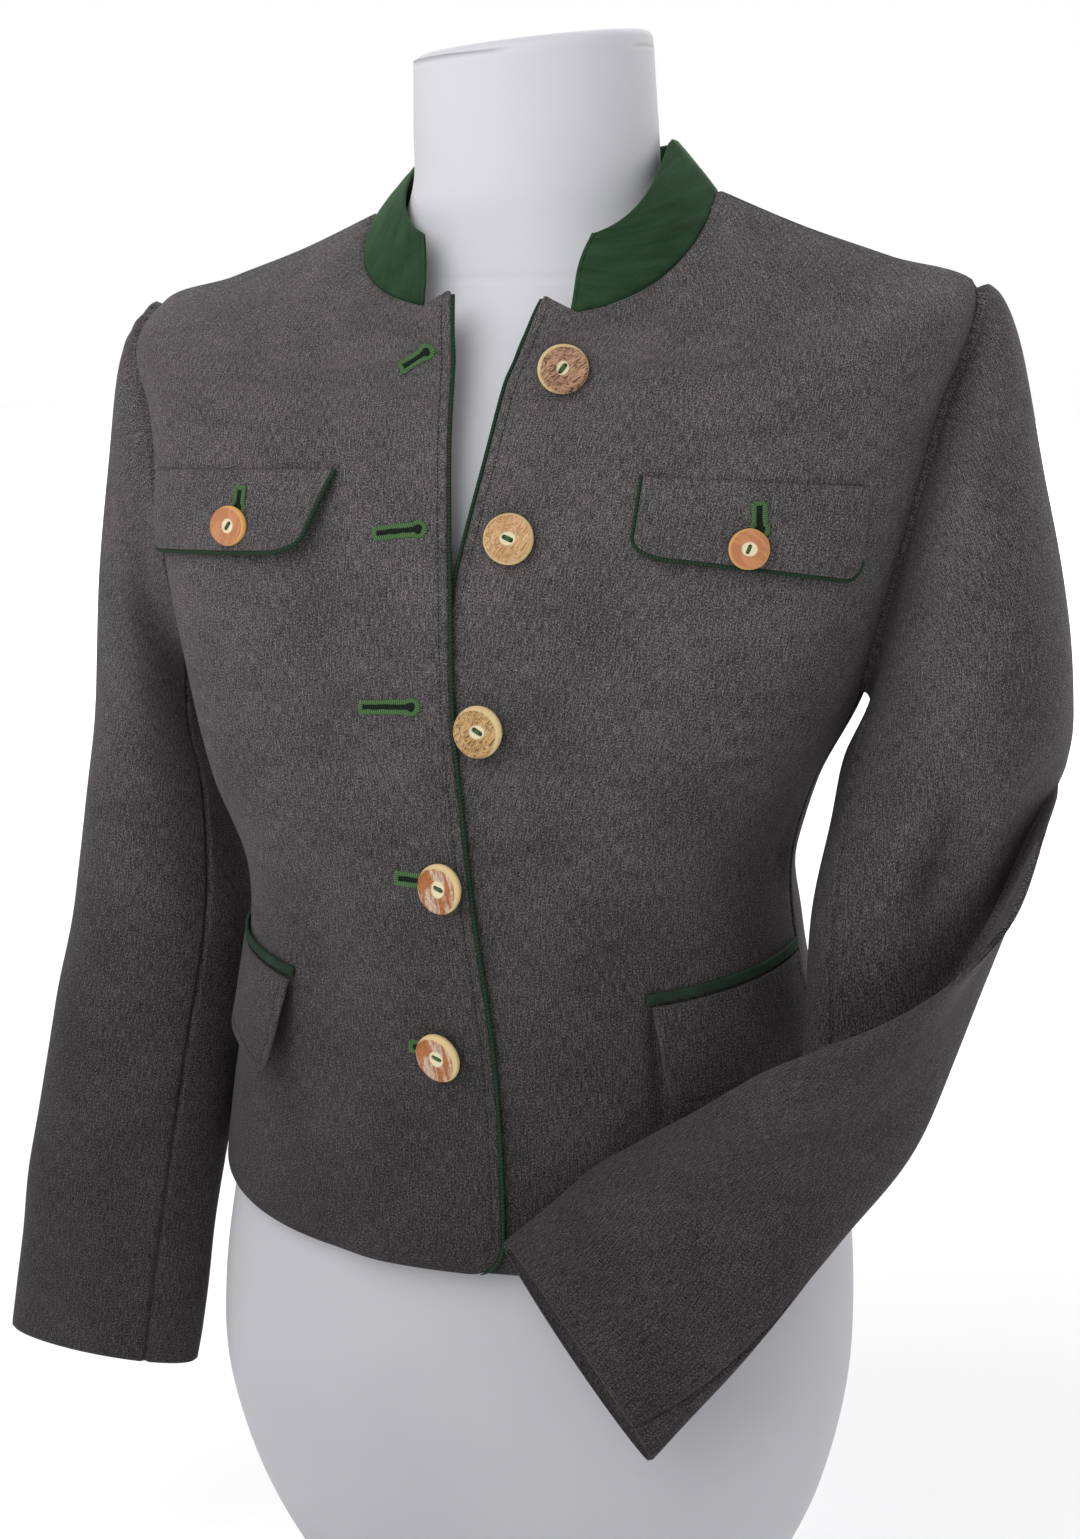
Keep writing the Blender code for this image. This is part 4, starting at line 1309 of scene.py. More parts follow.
# ---- sleeves ----
class Ring(NamedTuple):
    """One section of a sleeve: its inner, front, outer and back points, and what shapes it.

    x counts outward from the middle of the body; tuck draws the cloth in at a bent elbow; the
    seams are angles in degrees from the inner point (0) over the front point (90).
    """

    inner: tuple[float, float, float]
    front: tuple[float, float, float]
    outer: tuple[float, float, float]
    back: tuple[float, float, float]
    tuck: float
    front_seam: float
    back_seam: float


# From the shoulder (0) down to the cuff.
RIGHT_RINGS = (
    Ring((0.184, 0.003, 0.112), (0.212, -0.058, 0.200), (0.240, 0.018, 0.276),
         (0.205, 0.078, 0.208), 0.0, 34, 245),
    Ring((0.182, 0.000, 0.082), (0.214, -0.064, 0.145), (0.249, 0.008, 0.195),
         (0.214, 0.070, 0.150), 0.0, 34, 245),
    Ring((0.173, 0.002, 0.050), (0.212, -0.062, 0.080), (0.254, 0.002, 0.095),
         (0.212, 0.064, 0.080), 0.0, 36, 245),
    Ring((0.164, -0.003, -0.010), (0.215, -0.062, -0.010), (0.266, -0.012, -0.005),
         (0.213, 0.050, -0.010), 0.0, 42, 245),
    Ring((0.171, -0.018, -0.090), (0.223, -0.067, -0.095), (0.279, -0.026, -0.085),
         (0.221, 0.027, -0.090), 0.0, 47, 245),
    Ring((0.178, -0.036, -0.175), (0.233, -0.074, -0.175), (0.293, -0.034, -0.170),
         (0.234, 0.003, -0.175), 0.0, 49, 245),
    Ring((0.186, -0.050, -0.262), (0.243, -0.077, -0.254), (0.303, -0.042, -0.256),
         (0.244, -0.018, -0.263), 0.0, 50, 245),
)
LEFT_RINGS = (
    Ring((0.180, 0.004, 0.114), (0.213, -0.040, 0.200), (0.250, 0.020, 0.286),
         (0.210, 0.085, 0.205), 0.0, 42, 250),
    Ring((0.168, -0.004, 0.094), (0.222, -0.054, 0.140), (0.270, 0.010, 0.185),
         (0.225, 0.073, 0.150), 0.0, 42, 250),
    Ring((0.1645, -0.022, 0.062), (0.225, -0.074, 0.080), (0.279, 0.000, 0.120),
         (0.228, 0.050, 0.090), 0.0, 41, 248),
    Ring((0.1610, -0.042, 0.016), (0.218, -0.086, 0.018), (0.278, -0.006, 0.096),
         (0.224, 0.022, 0.022), 0.0, 48, 240),
    Ring((0.1620, -0.066, -0.045), (0.228, -0.077, -0.022), (0.276, -0.009, 0.087),
         (0.218, -0.002, -0.025), 0.012, 40, 232),
    Ring((0.174, -0.121, -0.040), (0.258, -0.108, 0.017), (0.274, -0.011, 0.074),
         (0.216, -0.028, -0.052), 0.012, 12, 226),
    Ring((0.157, -0.125, -0.046), (0.233, -0.122, -0.018), (0.268, -0.025, 0.047),
         (0.207, -0.058, -0.073), 0.006, -10, 218),
    Ring((0.123, -0.130, -0.067), (0.203, -0.142, -0.056), (0.249, -0.050, -0.011),
         (0.185, -0.093, -0.096), 0.0, -18, 210),
    Ring((0.095, -0.132, -0.0845), (0.177, -0.152, -0.084), (0.226, -0.085, -0.083),
         (0.160, -0.116, -0.118), 0.0, -20, 200),
    Ring((0.073, -0.134, -0.099), (0.145, -0.159, -0.110), (0.195, -0.118, -0.128),
         (0.128, -0.130, -0.136), 0.0, -20, 186),
    Ring((0.052, -0.137, -0.119), (0.111, -0.164, -0.148), (0.155, -0.143, -0.183),
         (0.098, -0.137, -0.160), 0.0, -20, 162),
    Ring((0.029, -0.139, -0.140), (0.079, -0.165, -0.182), (0.111, -0.155, -0.237),
         (0.065, -0.140, -0.194), 0.0, -20, 134),
)


@dataclass
class Sleeve:
    """A two-piece sleeve through its rings, set into the armhole with a full head."""

    side: Side
    rings: tuple[Ring, ...]
    folds: tuple[Fold, ...] = ()
    head: float = 0.0030           # how far the full head stands out beyond the sleeve's own line
    proud: float = 0.0046          # how far the head stands above the shoulder beside its seam
    sunk: float = 0.0034           # depth of the seam
    roll: float = 0.08             # share of the first length over which the head rolls up from its seam
    allowance: float = 0.0035      # how far the sleeve runs on inside the armhole
    blend: float = 0.45            # share of the first length over which head becomes sleeve
    pucker: float = 0.0004         # depth of the eased cloth just past the armhole seam
    pucker_at: float = 0.010       # how far down from the seam that is, and how far it spreads
    pucker_spread: float = 0.008
    pucker_pitch: float = 0.0026   # distance between puckers, over a full turn
    width: float = 0.16            # mean breadth of each of its two parts
    columns: int = 60
    rows: int = 230

    def ring(self, w: Array, phi: Array) -> Array:
        """Points round the sleeve: an ellipse through its four lines, bent to meet them all.

        The centre, plus cos(phi) times half of inner less outer, sin(phi) times half of front
        less back, and cos(2 phi) times a quarter of what the two pairs' sums differ by.

        Args:
            w: row numbers, from the shoulder down.
            phi: angles round the sleeve from its inner line.

        Returns:
            The points.
        """
        table = np.array([np.hstack(row) for row in self.rings])
        ahead = np.minimum(w, 0)[..., None] * (table[1] - table[0]) * 0.5
        rails = catmull(table, w) + ahead
        inner, front, outer, back = (rails[..., 3 * k:3 * k + 3] for k in range(4))
        points = ((inner + front + outer + back) / 4
                  + np.cos(phi)[..., None] * (inner - outer) / 2
                  + np.sin(phi)[..., None] * (front - back) / 2
                  + np.cos(2 * phi)[..., None] * (inner + outer - front - back) / 4)
        between = (np.cos(phi) < 0) & (np.sin(phi) > 0)
        drawn = rails[..., 12] * np.sin(2 * phi) ** 2 * between
        points = points + drawn[..., None] * unit(inner - outer)
        return points * (self.side.value, 1, 1) + (0, 0, WAIST)

    def surface(self, phi: Array, w: Array) -> Array:
        """Outer surface: the armhole's edge at w = -1, blended into the sleeve's own tube.

        Beside its seam the head rises by a quarter circle, and rows below -1 are the seam's
        allowance, tucked inside the armhole.

        Args:
            phi: angles round the sleeve from its inner line.
            w: row numbers; below 0 is the head.

        Returns:
            The points.
        """
        phi, w = np.broadcast_arrays(phi, w)
        body = self.ring(w, phi)
        hole, normal = BODY.armhole_point(self.side, phi)
        outward = np.array([self.side.value, 0.0, 0.0])
        share = smooth((w + 1) / (1 + self.blend))[..., None]
        top = ((1 - np.cos(phi)) / 2)[..., None]
        start = hole + (normal * 0.7 + outward * 0.3) * self.proud * (0.25 + 0.75 * top)
        full = self.head * np.sin(math.pi * share) * top * unit(normal + outward)
        made = start * (1 - share) + body * share + full
        rise = np.sqrt(np.clip(1 - (1 - np.clip((w + 1) / self.roll, 0, 1)) ** 2, 0, 1))[..., None]
        made = made * rise + (hole - normal * self.sunk) * (1 - rise)
        tucked = np.clip(-1 - w, 0, 1)[..., None] * 10
        return made - (normal + outward) * self.allowance * tucked

    def points(self, under: bool) -> Array:
        """Outer face of the top sleeve, or of the under sleeve, between the two seams.

        Args:
            under: whether it is the under sleeve.

        Returns:
            The grid of points.
        """
        last_row = len(self.rings) - 1
        head = -1 + np.linspace(0, 1, 50) ** 1.6
        w = np.concatenate([[-1.1, -1.05], head[:-1], np.linspace(0, last_row, self.rows)])[:, None]
        table = np.array([[row.front_seam, row.back_seam] for row in self.rings])
        seams = np.radians(catmull(table, np.maximum(w[:, 0], 0)))
        first, last = seams[:, :1], seams[:, 1:]
        if under:
            first, last = last - 2 * math.pi, first
        phi = first + (last - first) * border_shares(self.width, self.columns)
        base = self.surface(phi, w)
        normal = grid_normals(base, -self.side.value)
        off_seam = np.minimum(run_length(base, 1), run_length(base[:, ::-1], 1)[:, ::-1])
        down = run_length(base, 0) - run_length(base, 0)[2]
        off_cuff = down[-1:] - down
        off_ends = np.minimum(down, off_cuff)
        fade = smooth(np.minimum(off_seam, off_ends) / SEAM_FADE)
        move = HAND.seam(off_seam) * smooth(down / 0.01) + HAND.edge(off_cuff)
        facing = smooth(-normal[..., 1] * 3)
        move += fold_rise(base, self.folds) * smooth(off_ends / SEAM_FADE) * facing
        move += 0.0008 * fade * ripple(base[..., 0] / 0.03, base[..., 2] / 0.03, 21 + self.side.value)
        around = run_length(base, 1)
        eased = (np.exp(-(((down - self.pucker_at) / self.pucker_spread) ** 2))
                 * smooth(off_seam / SEAM_FADE) * smooth(-np.cos(phi) + 0.5))
        move += self.pucker * eased * np.sin(around / self.pucker_pitch
                                             + 3 * ripple(around / 0.02, down * 0, 5))
        return base + normal * move[..., None]

    def build(self) -> list[Object]:
        """The top and under sleeves as pieces.

        Returns:
            The pieces.
        """
        made = []
        for part, under, width in (("top", False, 0.20), ("under", True, 0.17)):
            name = f"{part}_sleeve_{self.side.word}"
            shape = grid_shape(self.points(under), self.side is Side.LEFT)
            piece = place_piece(name, shape, Finish.LODEN, CLOTH, (f"sleeve_{self.side.word}_{part}",))
            made.append(piece)
        return made


# ---- collar ----
@dataclass
class StandCollar:
    """The felt stand collar, open at the front, its front ends turned and stitched."""

    top: Section = Section(0.069, 0.004, 0.397, -0.080, 0.352, 0.066, 0.397, 2.60, 2.20)
    right_end: tuple[float, float] = (20.5, 1.8)      # degrees at the foot, and more at the top
    left_end: tuple[float, float] = (23.0, 6.5)
    right_corner: tuple[float, float] = (12.0, 0.72)  # degrees cut off, over a share of the rise
    left_corner: tuple[float, float] = (9.5, 0.55)
    corner_part: float = 0.95                         # how much of its quarter ellipse a corner takes
    turned: float = 0.0026                            # from the end to the line of its turning
    turned_dent: float = 0.0006                       # depth and width of that line
    hug: float = 0.07                                 # share that the right side's top leans in
    hug_end: float = 100.0                            # degrees from the middle to where that ends
    foot_drop: float = 0.0008                         # how far the foot reaches below the neckline

    def points(self) -> Array:
        """Outer face: straight from the neckline to the top line, with its edges rolled.

        Returns:
            The grid of points.
        """
        t = border_shares(0.042, 30, 0.004, 0.0004)[:, None]
        rounded = []
        for angle, share in (self.right_corner, self.left_corner):
            into = self.corner_part * np.clip(1 - (1 - t) / share, 0, 1)
            rounded.append(np.radians(angle) * (1 - np.sqrt(1 - into ** 2)))
        start = -np.radians(self.right_end[0] + self.right_end[1] * t) - rounded[0]
        end = np.radians(self.left_end[0] + self.left_end[1] * t) + rounded[1] - 2 * math.pi
        theta = start + (end - start) * border_shares(0.40, 200, 0.006, 0.0004)
        foot = BODY.points(theta, NECK_ROW) - (0, 0, self.foot_drop)
        top = superellipse(np.broadcast_to(np.array(self.top), (*theta.shape, 9)), theta)
        top = top + BODY.shift(theta, 1.0, 1.0) + (0, 0, WAIST)
        hug = np.sin(math.pi * np.clip(-theta / math.radians(self.hug_end), 0, 1)) ** 2
        top[..., :2] *= 1 - self.hug * hug[..., None]
        base = foot + (top - foot) * t[..., None]
        normal = grid_normals(base, -1.0)
        across = run_length(base, 1)
        ends = np.minimum(across, across[:, -1:] - across)
        up = run_length(base, 0)
        off = np.minimum(ends, up[-1:] - up)
        move = HAND.edge(off) + HAND.seam(up) * 0.6
        move -= self.turned_dent * np.exp(-((ends - self.turned) / self.turned_dent) ** 2)
        move += (0.0005 * np.sin(math.pi * t)
                 + 0.0004 * ripple(across / 0.03, up / 0.02, 31) * smooth(off / 0.01))
        return base + normal * move[..., None]

    def build(self) -> Object:
        """The collar as a piece.

        Returns:
            The piece.
        """
        piece = place_piece("stand_collar", grid_shape(self.points(), True), Finish.FELT, GREEN_CLOTH,
                            ("collar",))
        return piece


# ---- pockets ----
class FlapCut(NamedTuple):
    """Corners of a flap as (degrees round the body, height), and how far it stands off."""

    inner_top: tuple[float, float]
    outer_top: tuple[float, float]
    inner_bottom: tuple[float, float]
    outer_bottom: tuple[float, float]
    lift: float
    inner_lift: float


@dataclass
class PocketFlap:
    """A flap that lies on a front: the front's surface moved out, lifting towards its hem."""

    name: str
    cut: FlapCut
    piped: bool = False
    sewn: bool = False
    on_panel: float = 0.0009
    corner: float = 0.11           # share of the breadth that each lower corner is rounded over
    corner_depth: float = 0.22     # share of the depth that the rounding takes off
    row_side: float = 0.055        # where the stitches run, as shares of the breadth and the depth
    row_foot: float = 0.885

    @property
    def side(self) -> Side:
        """The side of the body it is on."""
        return Side.LEFT if self.cut.inner_top[0] > 0 else Side.RIGHT

    def surface(self, u: Array, t: Array) -> tuple[Array, Array]:
        """Outer face and its normals; u runs outwards, t down, with the lower corners cut.

        Args:
            u: shares of the breadth, from the inner end.
            t: shares of the depth, from the top.

        Returns:
            The points, and their normals.
        """
        inner_end = np.clip((self.corner - u) / self.corner, 0, 1)
        outer_end = np.clip((u - 1 + self.corner) / self.corner, 0, 1)
        rounding = 2 - np.sqrt(1 - inner_end ** 2) - np.sqrt(1 - outer_end ** 2)
        t = t * (1 - self.corner_depth * rounding)
        cut, down = self.cut, t[..., None]
        inner = np.array(cut.inner_top) + np.subtract(cut.inner_bottom, cut.inner_top) * down
        outer = np.array(cut.outer_top) + np.subtract(cut.outer_bottom, cut.outer_top) * down
        blend = inner * (1 - u[..., None]) + outer * u[..., None]
        theta = np.radians(blend[..., 0])
        v = BODY.row_at(blend[..., 1], theta=theta)
        out = self.on_panel + CLOTH + t * cut.lift
        out = out + t * cut.inner_lift * np.clip(1 - u / 0.5, 0, 1) ** 2
        if self.side is Side.RIGHT:
            out = out + LAP_LIFT * 0.4 * np.clip(1 - u / 0.4, 0, 1)
        normal = BODY.normals(theta, v)
        return BODY.points(theta, v) + normal * out[..., None], normal

    def grid(self) -> tuple[Array, Array]:
        """The flap's grid of points before its edges are turned, and its normals.

        Returns:
            The points, and their normals.
        """
        u = border_shares(0.10, 60, 0.008, 0.0004)[None, :]
        t = border_shares(0.045, 34, 0.007, 0.0004)[:, None]
        u, t = np.broadcast_arrays(u, t)
        return self.surface(u, t)

    def build(self) -> list[Object]:
        """The flap, with its piping or its stitching.

        Returns:
            The pieces.
        """
        base, normal = self.grid()
        border = np.concatenate([base[:, 0], base[-1], base[::-1, -1]])
        off = distance_to_line(base, resample(border, 0.0008))
        top = run_length(base, 0)
        move = HAND.edge(off) + HAND.edge(top * 0.7)
        move += HAND.row(off - STITCH_INSET) * (1.0 if self.sewn else 0.6)
        shape = grid_shape((base + normal * move[..., None])[::-1], self.side is Side.RIGHT)
        made = [place_piece(f"{self.name}_cloth", shape, Finish.LODEN, CLOTH, (self.name,))]
        edge = np.concatenate([base[:-1, 0], base[-1]])
        facing = np.concatenate([normal[:-1, 0], normal[-1]])
        inward = -unit(np.cross(np.gradient(edge, axis=0), facing)) * self.side.value
        if self.piped:
            line = edge - inward * PIPING_RADIUS * 0.7 - facing * CLOTH * 0.55
            node = self.name.replace("chest_flap", "piping_chest")
            made.append(place_piece(f"{self.name}_piping", tube(resample(line, 0.0015), PIPING_RADIUS),
                                    Finish.PIPING, stands_for=(node,)))
        if self.sewn:
            near, far, foot = self.row_side, 1 - self.row_side, self.row_foot
            u = np.concatenate([np.full(20, near), np.linspace(near, far, 60), np.full(20, far)])
            down = np.linspace(0.04, foot - 0.005, 20)
            t = np.concatenate([down, np.full(60, foot), down[::-1]])
            row, facing = self.surface(u, t)
            made.append(place_piece(f"{self.name}_stitching", stitches(row, facing), Finish.THREAD))
        return made


@dataclass
class HipWelt:
    """A narrow felt welt over the top of a hip flap."""

    name: str
    inner: tuple[float, float]     # degrees round the body, height
    outer: tuple[float, float]
    width: float = 0.0055
    pad: float = 0.0014            # how far its middle stands out
    on_panel: float = 0.0012       # how far its edges do

    def build(self) -> Object:
        """The welt: a padded strip, highest along its middle.

        Returns:
            The piece.
        """
        side = Side.LEFT if self.inner[0] > 0 else Side.RIGHT
        u = np.linspace(0, 1, 80)[None, :]
        t = np.linspace(0, 1, 17)[:, None]
        theta = np.radians(self.inner[0] + (self.outer[0] - self.inner[0]) * u) + 0 * t
        height = self.inner[1] + (self.outer[1] - self.inner[1]) * u + self.width * t
        v = BODY.row_at(height, theta=theta)
        pad = self.pad * np.sqrt(np.clip(1 - (2 * t - 1) ** 4, 0, 1))
        pad = pad * np.sqrt(np.clip(1 - (2 * u - 1) ** 40, 0, 1))
        points = BODY.points(theta, v) + BODY.normals(theta, v) * (self.on_panel + pad)[..., None]
        piece = place_piece(f"{self.name}_felt", grid_shape(points, side is Side.RIGHT), Finish.WELT,
                            self.on_panel, (self.name,))
        return piece


# ---- buttonholes and buttons ----
@dataclass
class Buttonhole:
    """A keyhole buttonhole worked in green silk: a slot, an eyelet and a square bar."""

    name: str
    start: tuple[float, float]     # the barred end: breadth, height from the waist
    end: tuple[float, float]       # the end by the eyelet
    lift: float                    # how far the cloth stands off the body's surface
    folds: Sequence[Fold] = BODY.folds
    gap: float = 0.0024            # from the slot's middle to the middle of the silk beside it
    eye: float = 0.0034            # the same at the eyelet
    silk: float = 0.0013           # half the breadth of the silk
    flat: float = 0.45             # its thickness as a share of its breadth
    stitch: float = 0.0011         # breadth of one stitch, drawn coarser than the silk's own 0.5 mm
    slit: float = 0.0016           # half the breadth of the painted-shadow strip in the slit; a little more at the eye

    def path(self) -> Array:
        """The outline along the slot and across it: two sides, a square end and a round eye.

        Returns:
            Points of the outline, along and across the slot.
        """
        length = math.dist(self.start, self.end)
        reach = math.pi - math.asin(self.gap / self.eye)
        turn = np.linspace(-reach, reach, 40)
        eye = np.stack([length - self.eye + self.eye * np.cos(turn), self.eye * np.sin(turn)], axis=-1)
        along = np.linspace(eye[-1, 0], 0, 60)[1:]
        upper = np.stack([along, np.full(59, self.gap)], axis=-1)
        bar = np.stack([np.zeros(7), np.linspace(self.gap, -self.gap, 9)[1:-1]], axis=-1)
        outline = np.concatenate([eye, upper, bar, upper[::-1] * (1, -1)])
        closed = np.concatenate([outline, outline[:1]])
        return resample(np.pad(closed, ((0, 0), (0, 1))), 0.0003)[:-1, :2]

    def on_cloth(self, path: Array, lift: float) -> tuple[Array, Array]:
        """The path's points and normals on the front.

        Args:
            path: points along and across the slot.
            lift: how far they stand off the cloth.

        Returns:
            The points, and their normals.
        """
        ahead = unit(np.subtract(self.end, self.start))
        x = self.start[0] + path[:, 0] * ahead[0] - path[:, 1] * ahead[1]
        height = self.start[1] + path[:, 0] * ahead[1] + path[:, 1] * ahead[0]
        points, normal = BODY.on_front(x, height)
        rise = self.lift + lift + fold_rise(points, self.folds)[:, None]
        return points + normal * rise, normal

    def build(self) -> list[Object]:
        """The silk round the slot, and a dark strip of painted shadow inside it.

        Returns:
            The pieces.
        """
        line, normal = self.on_cloth(self.path(), 0.0002)
        run = line_run(line)
        girth = self.silk * (1 + 0.13 * np.sin(2 * math.pi * run / self.stitch)
                             + 0.10 * ripple(run / 0.0009, 0, 8))
        silk = place_piece(f"{self.name}_silk",
                           tube(line, girth, 10, normal, closed=True, flatten=self.flat), Finish.SILK)
        length = math.dist(self.start, self.end)
        middle = np.stack([np.linspace(0.0002, length - self.eye * 0.55, 24), np.zeros(24)], axis=-1)
        line, normal = self.on_cloth(middle, 0.0001)
        girth = np.interp(np.linspace(0, 1, 24), [0, 0.72, 0.88, 1],
                          [self.slit, self.slit, self.slit + 0.0010, self.slit + 0.0004])
        slit = place_piece(f"{self.name}_slit", tube(line, girth, 8, normal, flatten=0.16), Finish.SLIT)
        return [silk, slit]


FACE_RINGS = 56                    # rings of points from a button's middle to its rim


@dataclass
class AntlerButton:
    """A cut antler button with a pale core and a slot, sewn on with green silk."""

    name: str
    x: float
    height: float
    stand: float                   # from the body's surface to the button's back
    finish: Finish
    slot: float = 0.0              # degrees that its slot is turned from level
    grain: float = 0.0             # degrees that its grain is turned from upright
    lean: tuple[float, float] = (0.0, 0.0)      # degrees its face is turned up, and to the wearer's left
    bevel: tuple[float, float] = (0.0, 0.0)     # how far the crust is off centre, in radii
    radius: float = 0.0127
    thickness: float = 0.0042
    core: tuple[float, float] = (0.36, 0.29)    # half axes of the pale core, in radii
    core_sunk: float = 0.16        # how deep the core, the slot and the rim lie, in thicknesses
    slot_sunk: float = 0.62
    rim_sunk: float = 0.10
    slot_half: float = 0.15        # half the slot's length between its round ends, in radii
    slot_wide: float = 0.100       # half its breadth
    relief: float = 0.00022        # height of the crust's furrows at full depth
    wobble: float = 0.026          # unevenness of the outline, in radii
    sides: int = 96
    seed: int = 0

    def profile(self) -> Array:
        """Radius and height from the middle of the face over the rim to the back.

        Returns:
            Radius and height of each point.
        """
        r, h = self.radius, self.thickness
        turn = np.linspace(math.pi / 2, -math.pi / 2, 9)
        rim_r = h * 0.42
        face = np.linspace(0.02, 1, FACE_RINGS) * (r - rim_r * 0.8)
        rim = np.stack([r - rim_r * 0.8 + rim_r * 0.8 * np.cos(turn),
                        h / 2 + (h / 2) * np.sin(turn)], axis=-1)
        back = np.linspace(r - rim_r, r * 0.02, 8)
        return np.concatenate([np.stack([face, np.full(FACE_RINGS, h)], axis=-1), rim[1:],
                               np.stack([back, np.zeros(8)], axis=-1)])

    def frame(self) -> tuple[Array, Array]:
        """The button's origin on the cloth and its three axes: across, up and out of its face.

        Returns:
            The origin, and the axes as rows.
        """
        point, normal = BODY.on_front(self.x, self.height)
        across = unit(np.cross((0.0, 0.0, 1.0), normal))
        up = np.cross(normal, across)
        tip_up, tip_left = np.radians(self.lean)
        face = unit(normal + up * math.tan(tip_up) + across * math.tan(tip_left))
        across = unit(across - face * (across @ face))
        return point + normal * self.stand, np.stack([across, np.cross(face, across), face])

    def parts(self, x: Array, y: Array) -> tuple[Array, Array, Array]:
        """Shares of core, rim and slot at points of the face, x and y in button radii.

        Args:
            x: places across the face.
            y: places up the face.

        Returns:
            The shares of core, rim and slot.
        """
        core = smooth((1 - np.hypot(x / self.core[0], y / self.core[1])) / 0.18)
        rim = smooth((np.hypot(x - self.bevel[0], y - self.bevel[1]) - 0.90) / 0.04)
        turn = math.radians(self.slot)
        along = x * math.cos(turn) + y * math.sin(turn)
        over = y * math.cos(turn) - x * math.sin(turn)
        off = np.hypot(np.maximum(np.abs(along) - self.slot_half, 0), over)
        slot = smooth((self.slot_wide - off) / 0.035)
        return core, rim, slot

    def shape(self) -> Shape:
        """The turned body with its sunk core, its slot for the thread and an uneven crust.

        Returns:
            The shape, in its place.
        """
        profile = self.profile()
        turn = np.linspace(0, 2 * math.pi, self.sides, endpoint=False)
        r, z = profile[:, :1], profile[:, 1:]
        x, y = r * np.cos(turn) / self.radius, r * np.sin(turn) / self.radius
        face = (np.arange(len(profile)) < FACE_RINGS + 4)[:, None]
        core, rim, slot = self.parts(x, y)
        grain = math.radians(self.grain)
        u = x * math.cos(grain) + y * math.sin(grain)
        v = y * math.cos(grain) - x * math.sin(grain)
        uneven = (ripple(u / 0.13, v / 0.5, 50 + self.seed)
                  + 0.6 * ripple(u / 0.06, v / 0.22, 70 + self.seed))
        outline = 1 + self.wobble * ripple(np.cos(turn) * 1.5, np.sin(turn) * 1.5, 90 + self.seed)
        z = z + face * self.relief * self.finish.value.depth * uneven * (1 - core) * (1 - rim)
        sunk = self.core_sunk * core * (1 - slot) + self.slot_sunk * slot
        sunk = sunk + self.rim_sunk * rim * (r < self.radius * 0.97)
        z = z - face * self.thickness * sunk
        local = np.stack([x * outline * self.radius, y * outline * self.radius, z + 0 * x], axis=-1)
        origin, axes = self.frame()
        ends = np.array([[0, 0, local[0, :, 2].mean()], [0, 0, 0]]) @ axes + origin
        parts = np.stack(np.broadcast_arrays(core * face, np.maximum(rim, 1 - face), slot * face),
                         axis=-1)
        return Shape(np.concatenate([local.reshape(-1, 3) @ axes + origin, ends]),
                     grid_quads(len(profile), self.sides, round_it=True, flip=True),
                     end_fans(len(profile), self.sides, flip=True),
                     np.concatenate([np.stack([u, v], axis=-1).reshape(-1, 2), np.zeros((2, 2))]),
                     np.concatenate([parts.reshape(-1, 3), [[1, 0, 1], [0, 1, 0]]]))

    def build(self) -> list[Object]:
        """The button, and the silk through its slot with the shank behind it.

        Returns:
            The pieces.
        """
        button = place_piece(f"antler_{self.name}", self.shape(), self.finish, stands_for=(self.name,))
        origin, axes = self.frame()
        turn = math.radians(self.slot)
        ahead = np.array([math.cos(turn), math.sin(turn), 0.0])
        over = np.array([-math.sin(turn), math.cos(turn), 0.0])
        t = np.linspace(-1, 1, 15)[:, None]
        strands = []
        for offset in (-0.035, 0.035):
            local = (ahead * t * self.slot_half + over * offset) * self.radius
            local[:, 2] = self.thickness * (0.80 - 0.30 * t[:, 0] ** 4)
            strands.append(tube(local @ axes + origin, self.radius * 0.036, 8, axes[2]))
        shank = np.stack([np.zeros(6), np.zeros(6), np.linspace(0.0002, -self.stand * 0.9, 6)], axis=-1)
        strands.append(tube(shank @ axes + origin, 0.0013, 8, axes[0]))
        silk = strands[0].joined(strands[1]).joined(strands[2])
        return [button, place_piece(f"{self.name}_thread", silk, Finish.SILK)]


# ---- dress form ----
class Level(NamedTuple):
    """One level section of the form."""

    z: float
    half_width: float
    side_y: float
    front_y: float
    back_y: float
    front_power: float
    back_power: float


